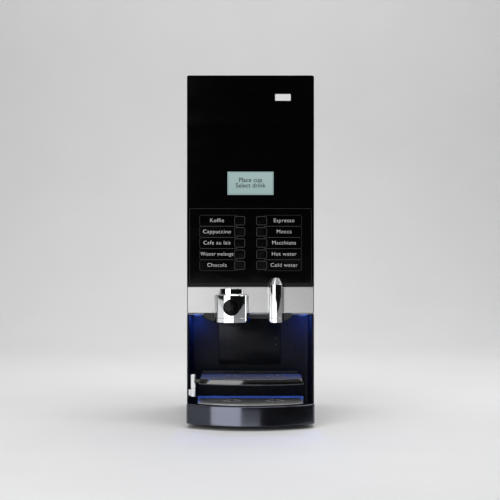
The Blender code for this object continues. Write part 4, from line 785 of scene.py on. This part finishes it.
def make_badge(centre, radius):
    """A plain round badge that follows the coffee cover, with a thin bright rim."""
    rim, thick = 0.0011, 0.0008
    swell = ((0, 0.0005), (0.35, 0.0004), (0.7, 0.0002), (0.90, 0.0))
    rings = [(share, thick + height) for share, height in swell]
    face_rings = len(rings)
    bead = arc((0, 0), 1.0, 180, 0, 6)
    rings += [(1 - rim / BADGE_RADIUS * (1 - u), thick + rim * 0.8 * v) for u, v in bead]
    rings.append((1.0, -0.0002))
    segments = 96
    bm = bmesh.new()
    loops = []
    for share, height in rings:
        loop = []
        for i in range(segments if share else 1):
            turn = math.tau * i / segments
            along = share * BADGE_RADIUS * math.cos(turn) / radius
            out = radius + height
            x, y = centre[0] + out * math.sin(along), centre[1] - out * math.cos(along)
            loop.append(bm.verts.new((x, y, BADGE_Z + share * BADGE_RADIUS * math.sin(turn))))
        loops.append(loop)
    for i in range(segments):
        j = (i + 1) % segments
        bm.faces.new((loops[0][0], loops[1][i], loops[1][j])).material_index = 0
        for k, (inside, outside) in enumerate(zip(loops[1:], loops[2:])):
            face = bm.faces.new((inside[i], outside[i], outside[j], inside[j]))
            face.material_index = 0 if k + 1 < face_rings else 1
    bmesh.ops.recalc_face_normals(bm, faces=bm.faces)
    badge = place("round_badge", mesh_from(bm, "round_badge"), (BADGE_BLACK, CHROME), "door")
    smooth(badge, 40)


def make_door_shell():
    shell = skinned("door_shell", 0.0006)
    shell.data.materials.append(GLOSS_BLACK)
    for face in shell.data.polygons:
        if face.center.z < DOOR_BOTTOM - 0.0001:
            face.material_index = 1


def make_name_plate():
    """The bare plate near the top of the door."""
    (x, z), (width, height) = PLATE_PLACE, PLATE_SIZE
    outline = rounded((x - width / 2, x + width / 2), (z - height / 2, z + height / 2), PLATE_CORNER)
    mesh = sheet_mesh("bare_plate", [outline], FRONT_Y - PLATE_THICK, FRONT_Y, True)
    plate = place("bare_plate", mesh, PLATE_SILVER, "door")
    rounded_edges(plate, 0.0002)


def button_centre(side, row):
    low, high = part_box(f"button_{side}_{row}")
    return (low.x + high.x) / 2, (low.z + high.z) / 2


def make_keypad_print_and_highlight():
    # The border is a painted highlight: a grey line in place of the light along the keypad's edge.
    border = rounded(*grown(KEYPAD_LOW, KEYPAD_HIGH, -BORDER_INSET), BORDER_CORNER)
    front_print_and_highlight("keypad_border", stroke(border, LINE), FRONT_Y, LINE_PRINT_AND_HIGHLIGHT, "door")
    for side, sign, labels in (("left", -1, LEFT_LABELS), ("right", 1, RIGHT_LABELS)):
        for row, words in enumerate(labels, 1):
            x, z = button_centre(side, row)
            make_label_window(f"window_{side}_{row}", sign, x, z)
            place_at = (sign * LABEL_CENTRE, z + LABEL_RISE)
            name = f"label_{side}_{row}"
            surface = FRONT_Y - PRINT_AND_HIGHLIGHT_RISE
            look = (LABEL_INK, "door", LABEL_WIDEST, THINNER, LETTER_SPACING)
            lettering(name, words, LABEL_SIZE, place_at, surface, *look)


def make_label_window(name, sign, x, z):
    """A label window, rounded at its far end. Its inner end is open, so that its button can move."""
    half = WINDOW_HEIGHT / 2
    far = x + sign * WINDOW_WIDTH
    corner, reach = WINDOW_CORNER, half + WINDOW_CLEAR
    path = [(x + sign * corner, z + reach)]
    turn = arc((WINDOW_WIDTH - corner, reach - corner), corner, 90, 0, 5)
    path += [(x + sign * u, z + v) for u, v in turn]
    path += [(u, 2 * z - v) for u, v in path[::-1]]
    front_print_and_highlight(name + "_line", stroke(path, LINE, False), FRONT_Y, LINE_PRINT_AND_HIGHLIGHT, "door")
    face_x = sorted((x + sign * FACE_START, far - sign * LINE))
    face = rounded(face_x, (z - half + LINE, z + half - LINE), FACE_CORNER)
    front_print_and_highlight(name + "_face", [face], FRONT_Y, WINDOW_BLACK, "door")


def make_buttons():
    for side in ("left", "right"):
        for row in range(1, 6):
            node = f"button_{side}_{row}"
            skinned(node, 0.0004)
            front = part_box(node)[0].y
            x, z = button_centre(side, row)
            # Painted highlight: a grey ring in place of the light on the cap's rounded edge.
            ring = rounded((x - RING_X, x + RING_X), (z - RING_Z, z + RING_Z), RING_CORNER)
            front_print_and_highlight(node + "_ring", stroke(ring, RING_LINE), front, RING_PAINTED_HIGHLIGHT, BODY_OF[node])


def make_display():
    module = skinned("display", 0.0003)
    module.data.materials.append(SATIN_BLACK)
    for face in module.data.polygons:
        if face.normal.y > -0.5:
            face.material_index = 1
    front = DISPLAY_LOW.y
    frame_area = grown(DISPLAY_LOW, DISPLAY_HIGH, -DISPLAY_FLANGE - FRAME_MARGIN)
    frame_line = stroke(rounded(*frame_area, FRAME_CORNER), FRAME_LINE)
    front_print_and_highlight("display_frame_line", frame_line, front, DISPLAY_INK, "door")
    middle = (DISPLAY_LOW.z + DISPLAY_HIGH.z) / 2
    for row, words in enumerate(DISPLAY_LINES):
        place_at = (0.0, middle + WORDS_RISE - WORDS_PITCH * row)
        name = f"display_words_{row + 1}"
        lettering(name, words, WORDS_SIZE, place_at, front, DISPLAY_INK, "door", thinner=-WORDS_BOLDER)


def make_door_panel():
    """The black sheet over the door front, open round the keypad and the display."""
    corner, z_top = PANEL_CORNER, PANEL_HIGH.z
    edge = [(-HALF_WIDTH, PANEL_LOW.z), (HALF_WIDTH, PANEL_LOW.z)]
    edge += arc((HALF_WIDTH - corner, z_top - corner), corner, 0, 90, 10)
    edge += arc((-HALF_WIDTH + corner, z_top - corner), corner, 90, 180, 10)
    keypad_hole = rounded(*grown(KEYPAD_LOW, KEYPAD_HIGH, GAP), KEYPAD_CORNER)
    display_hole = rounded(*grown(DISPLAY_LOW, DISPLAY_HIGH, GAP - DISPLAY_FLANGE), DISPLAY_CORNER)
    outlines = [edge, keypad_hole, display_hole]
    mesh = sheet_mesh("door_panel_sheet", outlines, PANEL_LOW.y, PANEL_HIGH.y, True)
    panel = place("door_panel_sheet", mesh, GLOSS_BLACK, "door", "gloss_black")
    smooth(panel)
    rounded_edges(panel, 0.0006, 3)
    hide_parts("door_panel")


# --- Niche, stand and tray -----------------------------------------
def make_light_bar():
    """The diffuser, with a lamp pad facing down under each end of it."""
    skinned("light_bar", 0.0)
    front, low = LIGHT_LOW.y, LIGHT_LOW.z
    for side, name in ((-1, "lamp_pad_left"), (1, "lamp_pad_right")):
        x = side * (LIGHT_HIGH.x - PAD_FROM_END)
        near = (x - PAD_REACH, front + PAD_FRONT, low - PAD_DROP)
        mesh = block(near, (x + PAD_REACH, front + PAD_BACK, low + PAD_SUNK))
        pad = place(name, mesh, PAD_WHITE, BODY_OF["light_bar"])
        pad.data.materials.append(LED_DOWN)
        for face in pad.data.polygons:
            if face.normal.z < -0.5:
                face.material_index = 1


def cup_slots():
    """Rings of short drain slots under the two cup places."""
    slots = []
    pitch = 360 / CUP_SLOTS
    for x in CUP_PLACES:
        centre = (x, FRONT_Y + CUP_BEHIND)
        for i in range(CUP_SLOTS):
            start, end = pitch * i + CUP_WEB, pitch * (i + 1) - CUP_WEB
            outer = arc(centre, CUP_RING, start, end, 8)
            slots.append(outer + arc(centre, CUP_RING - CUP_SLOT, end, start, 8))
    return slots


def make_grid(node, outline):
    low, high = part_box(node)
    mesh = sheet_mesh(node + "_plate", [outline, *cup_slots()], low.z, high.z, False)
    grid = place(node + "_plate", mesh, NODE_FINISH[node], BODY_OF[node], "brushed_steel")
    smooth(grid)
    rounded_edges(grid, 0.0005)
    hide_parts(node)


def stand_outline(inwards):
    """The stand's outline in plan, moved inwards; its grid lies STAND_RIM inside it."""
    left, right = REST_LOW.x - STAND_RIM, REST_HIGH.x + STAND_RIM
    back, nose = REST_HIGH.y + STAND_RIM - inwards, REST_LOW.y - STAND_RIM + inwards
    half, middle = (right - left) / 2 - inwards, (left + right) / 2
    corner = STAND_CORNER - inwards / 2
    return bowed(half, back, nose + STAND_BOW, nose, corner, middle=middle)


def make_cup_stand():
    """A shallow tray with a rounded nosing, on a sleeve that turns on the post."""
    top = REST_HIGH.z - GAP
    bottom = top - STAND_HEIGHT
    rings = [(stand_outline(inwards), bottom + height) for inwards, height in STAND_NOSING]
    over = top + CUT_OVER
    play, shelf, floor = 0.0004, 0.004, 0.002
    seat = sheet_mesh("seat", [stand_outline(STAND_RIM - play)], REST_LOW.z - GAP, over, False)
    well = sheet_mesh("well", [stand_outline(STAND_RIM + shelf)], bottom + floor, over, False)
    mesh = carved(lofted("stand_tray_shell", rings), seat, well)
    tray = place("stand_tray_shell", mesh, STAND_BLACK, "cup_stand")
    smooth(tray, 40)
    level_shading(tray)
    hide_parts("stand_tray")
    make_grid("stand_grid", stand_outline(STAND_RIM))
    make_stand_rail(top)
    make_stand_sleeve(bottom, top)


def make_stand_rail(top):
    """The low upright rail along the back of the stand."""
    left, right = REST_LOW.x - STAND_RIM + 0.003, REST_HIGH.x + STAND_RIM - 0.008
    slope, height = 0.004, STAND_HIGH.z - top
    low_z, high_z = top - 0.001, top + height
    outline = [(left, low_z), (right, low_z), (right - slope, high_z), (left + slope, high_z)]
    back, thick = REST_HIGH.y + STAND_RIM - 0.0005, 0.0033
    mesh = sheet_mesh("stand_rail", [outline], back - thick, back, True)
    rail = place("stand_rail", mesh, STAND_BLACK, "cup_stand")
    smooth(rail)
    rounded_edges(rail, 0.0008, 3)


def make_stand_sleeve(bottom, top):
    """The bright sleeve on the post, and the arm from it to the stand."""
    radius, soft = SLEEVE_RADIUS, 0.0008
    x, z = STAND_LOW.x + radius, STAND_LOW.z
    rise, ceiling = SLEEVE_HEIGHT, SLEEVE_HEIGHT - SLEEVE_CAP
    profile = [(0, rise)] + arc((radius - soft, rise - soft), soft, 90, 0, 5)
    profile += arc((radius - soft / 2, soft / 2), soft / 2, 0, -90, 3)
    profile += [(POST_BORE, 0), (POST_BORE, ceiling), (0, ceiling)]
    mesh = lathe_mesh("stand_sleeve", profile, (x, FRONT_Y, z), 64)
    sleeve = place("stand_sleeve", mesh, CHROME, "cup_stand")
    smooth(sleeve, 40)
    level_shading(sleeve)
    arm_low = (x + 0.005, FRONT_Y - 0.005, bottom + 0.003)
    arm_high = (x + 0.018, FRONT_Y + 0.010, top - 0.003)
    arm = place("stand_arm", block(arm_low, arm_high), STAND_BLACK, "cup_stand")
    rounded_edges(arm, 0.0012, 3)


def tray_outline(inwards, lean=0.0):
    """The drip tray's outline in plan: full width ahead of the cabinet, narrower between the cheeks."""
    nose = TRAY_LOW.y + inwards + lean
    front = bowed(HALF_WIDTH - inwards, FRONT_Y, nose + TRAY_BOW, nose, TRAY_CORNER - inwards)
    rear_half = LINER_HIGH.x - TRAY_FROM_LINER - inwards
    step, back = FRONT_Y - TRAY_STEP - inwards, TRAY_HIGH.y - inwards
    corner = TRAY_BACK_CORNER
    loop = front[:-2] + [(HALF_WIDTH - inwards, step), (rear_half, step)]
    loop += arc((rear_half - corner, back - corner), corner, 0, 90, 8)
    loop += arc((-rear_half + corner, back - corner), corner, 90, 180, 8)
    return loop + [(-rear_half, step), (-HALF_WIDTH + inwards, step)]


def drip_grid_outline(inwards):
    """The drip grid's outline in plan: bowed in front, and a little wider at its back."""
    back, nose = GRID_HIGH.y - inwards, GRID_LOW.y + inwards
    side, back_half = FRONT_Y - GRID_SIDE + inwards, GRID_HIGH.x - inwards
    return bowed(GRID_HALF - inwards, back, side, nose, GRID_CORNER, back_half=back_half)


def make_drip_tray():
    """A deep tray whose front leans back a little, with a soft upper edge."""
    low, high = TRAY_LOW, TRAY_HIGH
    soft, foot = 0.0028, 0.0012
    height = high.z - low.z
    edge = arc((foot, foot), foot, 270, 180, 3)
    edge += [(0.0, foot + (height - foot - soft) * i / 6) for i in range(1, 6)]
    edge += arc((soft, height - soft), soft, 180, 90, 6)
    rings = []
    for inwards, rise in edge:
        rings.append((tray_outline(inwards, TRAY_LEAN * rise / height), low.z + rise))
    wall, over = TRAY_WALL, high.z + CUT_OVER
    floor, shelf, play = low.z + wall, 0.004, 0.0005
    cavity = sheet_mesh("cavity", [tray_outline(wall, TRAY_LEAN)], floor, high.z - wall, False)
    opening = sheet_mesh("opening", [drip_grid_outline(shelf)], floor + wall, over, False)
    seat = sheet_mesh("seat", [drip_grid_outline(-play)], GRID_LOW.z - GAP, over, False)
    mesh = carved(lofted("drip_tray_shell", rings), cavity, opening, seat)
    tray = place("drip_tray_shell", mesh, TRAY_BLACK, "drip_tray", "gloss_black")
    smooth(tray, 40)
    level_shading(tray)
    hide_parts("drip_tray")
    make_grid("drip_grid", drip_grid_outline(0))


def make_niche_details():
    """Three sensor lenses on the splash panel, and a ledge across the niche wall below it."""
    front = SPLASH_LOW.y
    for index, (x, z) in enumerate(SENSOR_PLACES, 1):
        dome = arc((0, 0), SENSOR_RADIUS, 90, 0, 6)
        mesh = lathe_mesh(f"sensor_{index}", [(u, v * SENSOR_SWELL) for v, u in dome][::-1], (0, 0, 0), 24)
        mesh.transform(Matrix.Translation((x, front, z)) @ Matrix.Rotation(math.pi / 2, 4, "X"))
        sensor = place(f"sensor_{index}", mesh, LENS, "cabinet")
        smooth(sensor, 60)
    back = SPLASH_HIGH.y
    ledge_low = (SPLASH_LOW.x, back - LEDGE_DEPTH, LEDGE_LOW)
    ledge_high = (SPLASH_HIGH.x, back + LEDGE_SUNK, LEDGE_HIGH)
    ledge = place("liner_ledge", block(ledge_low, ledge_high), SPLASH_BLACK, "cabinet")
    rounded_edges(ledge, 0.0008)


# --- Fasteners -----------------------------------------------------
def screw_mesh(name, radius, height):
    """A low round head with a cross recess, its axis along +Z and its seat at 0."""
    soft = height * 0.9
    dome = [(0, height)] + arc((radius - soft, 0), soft, 80, 0, 6)
    mesh = lathe_mesh(name, dome + [(radius, -SCREW_SUNK)], (0, 0, 0), 32)
    slot, arm = radius * 0.16, radius * 0.62
    deep = height * 0.45
    across = block((-arm, -slot, deep), (arm, slot, 1))
    return carved(mesh, across, block((-slot, -arm, deep), (slot, arm, 1)))


def make_screws():
    head = screw_mesh("screw_head", SCREW_RADIUS, SCREW_HEIGHT)
    turns = {
        "back": Matrix.Rotation(-math.pi / 2, 4, "X"),
        "right": Matrix.Rotation(math.pi / 2, 4, "Y"),
        "left": Matrix.Rotation(-math.pi / 2, 4, "Y"),
    }
    spots = []
    reach = BACK_HIGH.x - BACK_SCREW_INSET
    for z in BACK_SCREW_HEIGHTS:
        spots += [("back", (x, BACK_HIGH.y, z)) for x in (-reach, reach)]
    for z in SIDE_SCREW_HEIGHTS:
        front = SIDE_SCREW_FRONT_BY_DOOR if z > DOOR_BOTTOM else SIDE_SCREW_FRONT_BELOW
        for y in (BACK_HIGH.y - SIDE_SCREW_REAR, front):
            spots.append(("right", (SIDE_HIGH.x, y, z)))
            spots.append(("left", (-SIDE_HIGH.x, y, z)))
    turn_of = random.Random(SCREW_SEED)
    for index, (facing, spot) in enumerate(spots, 1):
        mesh = head.copy()
        spin = Matrix.Rotation(turn_of.uniform(0, math.pi), 4, "Z")
        mesh.transform(Matrix.Translation(spot) @ turns[facing] @ spin)
        screw = place(f"screw_{index}", mesh, STEEL_DARK, "cabinet")
        smooth(screw, 35)


# --- Stage ---------------------------------------------------------
FLOOR_FRONT, FLOOR_HALF_WIDTH = -6.5, 20.0
BACKDROP_Y, BACKDROP_BEND, BACKDROP_HEIGHT = 3.3, 1.3, 5.0
BACKDROP_LEVEL = 0.6  # brightness of the room where it is seen directly
ROOM_DARK, ROOM_BRIGHT = 0.004, 0.36
LENS_LENGTH = 81.9  # millimetres, on a sensor 36 mm wide
SENSOR_WIDTH = 36.0
LENS_SHIFT = -0.001
CAMERA_DISTANCE = 3.0  # ahead of the door's front plane
CAMERA_HEIGHT = 0.4636


def make_stage():
    """The pale floor, which turns up into the backdrop."""
    finish = Finish("pale_floor", roughness=0.75, specular_ior_level=0.2)
    toned(finish, (0.80, 0.80, 0.80), 0.012, 3.0)
    bend = BACKDROP_BEND
    path = [(FLOOR_FRONT, 0.0)] + arc((BACKDROP_Y - bend, bend), bend, -90, 0, 16)
    path.append((BACKDROP_Y, BACKDROP_HEIGHT))
    bm = bmesh.new()
    ends = (-FLOOR_HALF_WIDTH, FLOOR_HALF_WIDTH)
    rows = [[bm.verts.new((x, y, z)) for x in ends] for y, z in path]
    for low, high in zip(rows, rows[1:]):
        bm.faces.new((low[0], low[1], high[1], high[0]))
    floor = place("studio_floor", mesh_from(bm, "studio_floor"), finish.material, None)
    smooth(floor, 60)


def area_light(name, place_at, target, size, power):
    """A rectangular lamp turned to its target, with its power in watts."""
    light = bpy.data.lights.new(name, "AREA")
    light.shape = "RECTANGLE"
    light.size, light.size_y = size
    light.energy = power
    obj = new_object(name, light)
    obj.location = place_at
    obj.rotation_euler = (Vector(target) - Vector(place_at)).to_track_quat("-Z", "Y").to_euler()


def make_world():
    """A soft room that is bright overhead and behind, and dark ahead of the machine at eye level."""
    world = bpy.data.worlds.new("soft_room")
    bpy.context.scene.world = world
    world.use_nodes = True
    tree = world.node_tree
    background = tree.nodes["Background"]
    split = tree.nodes.new("ShaderNodeSeparateXYZ")
    tree.links.new(tree.nodes.new("ShaderNodeTexCoord").outputs["Generated"], split.inputs["Vector"])

    def fade(output, start, end, low, high):
        node = tree.nodes.new("ShaderNodeMapRange")
        node.interpolation_type = "SMOOTHSTEP"
        set_sockets(node, from_min=start, from_max=end, to_min=low, to_max=high)
        tree.links.new(output, node.inputs["Value"])
        return node.outputs["Result"]

    behind = fade(split.outputs["Y"], -0.35, 0.25, 0.0, 1.0)
    above = fade(split.outputs["Z"], 0.22, 0.75, 0.03, 1.0)
    lighter = tree.nodes.new("ShaderNodeMath")
    lighter.operation = "MAXIMUM"
    tree.links.new(behind, lighter.inputs[0])
    tree.links.new(above, lighter.inputs[1])
    strength = fade(lighter.outputs["Value"], 0.0, 1.0, ROOM_DARK, ROOM_BRIGHT)
    seen = tree.nodes.new("ShaderNodeMix")
    seen.inputs["B"].default_value = BACKDROP_LEVEL
    tree.links.new(tree.nodes.new("ShaderNodeLightPath").outputs["Is Camera Ray"], seen.inputs["Factor"])
    tree.links.new(strength, seen.inputs["A"])
    tree.links.new(seen.outputs["Result"], background.inputs["Strength"])
    background.inputs["Color"].default_value = (0.98, 0.98, 1.0, 1)


def make_lights():
    middle = (0, 0, 0.45)
    area_light("key_softbox", (-1.26, -2.58, 0.98), (0, -0.17, 0.45), (1.75, 1.85), 34)
    area_light("left_card", (-2.35, -1.20, 0.19), (0, -0.1, 0.19), (1.9, 0.30), 1.05)
    area_light("low_card", (0.0, -2.86, 0.178), (0, -2.0, 0.178), (1.0, 0.195), 1.0)
    area_light("top_softbox", (0.1, -0.5, 2.9), middle, (2.2, 1.8), 30)
    area_light("right_fill", (2.9, -1.2, 2.3), middle, (1.2, 1.2), 16)
    area_light("back_fill", (0.6, 1.6, 2.4), (0, 0.2, 0.6), (1.6, 0.8), 12)
    area_light("backdrop_wash", (0, 0.9, 3.6), (0, 3.3, 1.0), (4.0, 0.8), 42)


def make_camera():
    camera = bpy.data.cameras.new("camera")
    camera.sensor_width = SENSOR_WIDTH
    camera.lens = LENS_LENGTH
    camera.shift_x = LENS_SHIFT
    obj = new_object("camera", camera)
    obj.location = (0, FRONT_Y - CAMERA_DISTANCE, CAMERA_HEIGHT)
    obj.rotation_euler = (math.pi / 2, 0, 0)
    bpy.context.scene.camera = obj


EDGE_WIDTH = {"keypad_panel": 0.0003, "steel_band": 0.0003, "splash_panel": 0.0, "niche_liner": 0.0006}
OWN_MAKER = (
    "coffee_spout_cover",
    "water_spout_cover",
    "door_shell",
    "door_panel",
    "display",
    "light_bar",
    "stand_tray",
    "stand_grid",
    "drip_tray",
    "drip_grid",
)


def main():
    for node in NODES:
        if node not in OWN_MAKER and not node.startswith("button_"):
            skinned(node, EDGE_WIDTH.get(node, 0.0004))
    make_door_shell()
    make_door_panel()
    make_display()
    make_buttons()
    make_keypad_print_and_highlight()
    make_name_plate()
    make_coffee_cover()
    make_water_cover()
    make_light_bar()
    make_niche_details()
    make_cup_stand()
    make_drip_tray()
    make_screws()
    make_stage()
    make_world()
    make_lights()
    make_camera()
    bpy.context.scene.view_settings.view_transform = "Standard"


main()
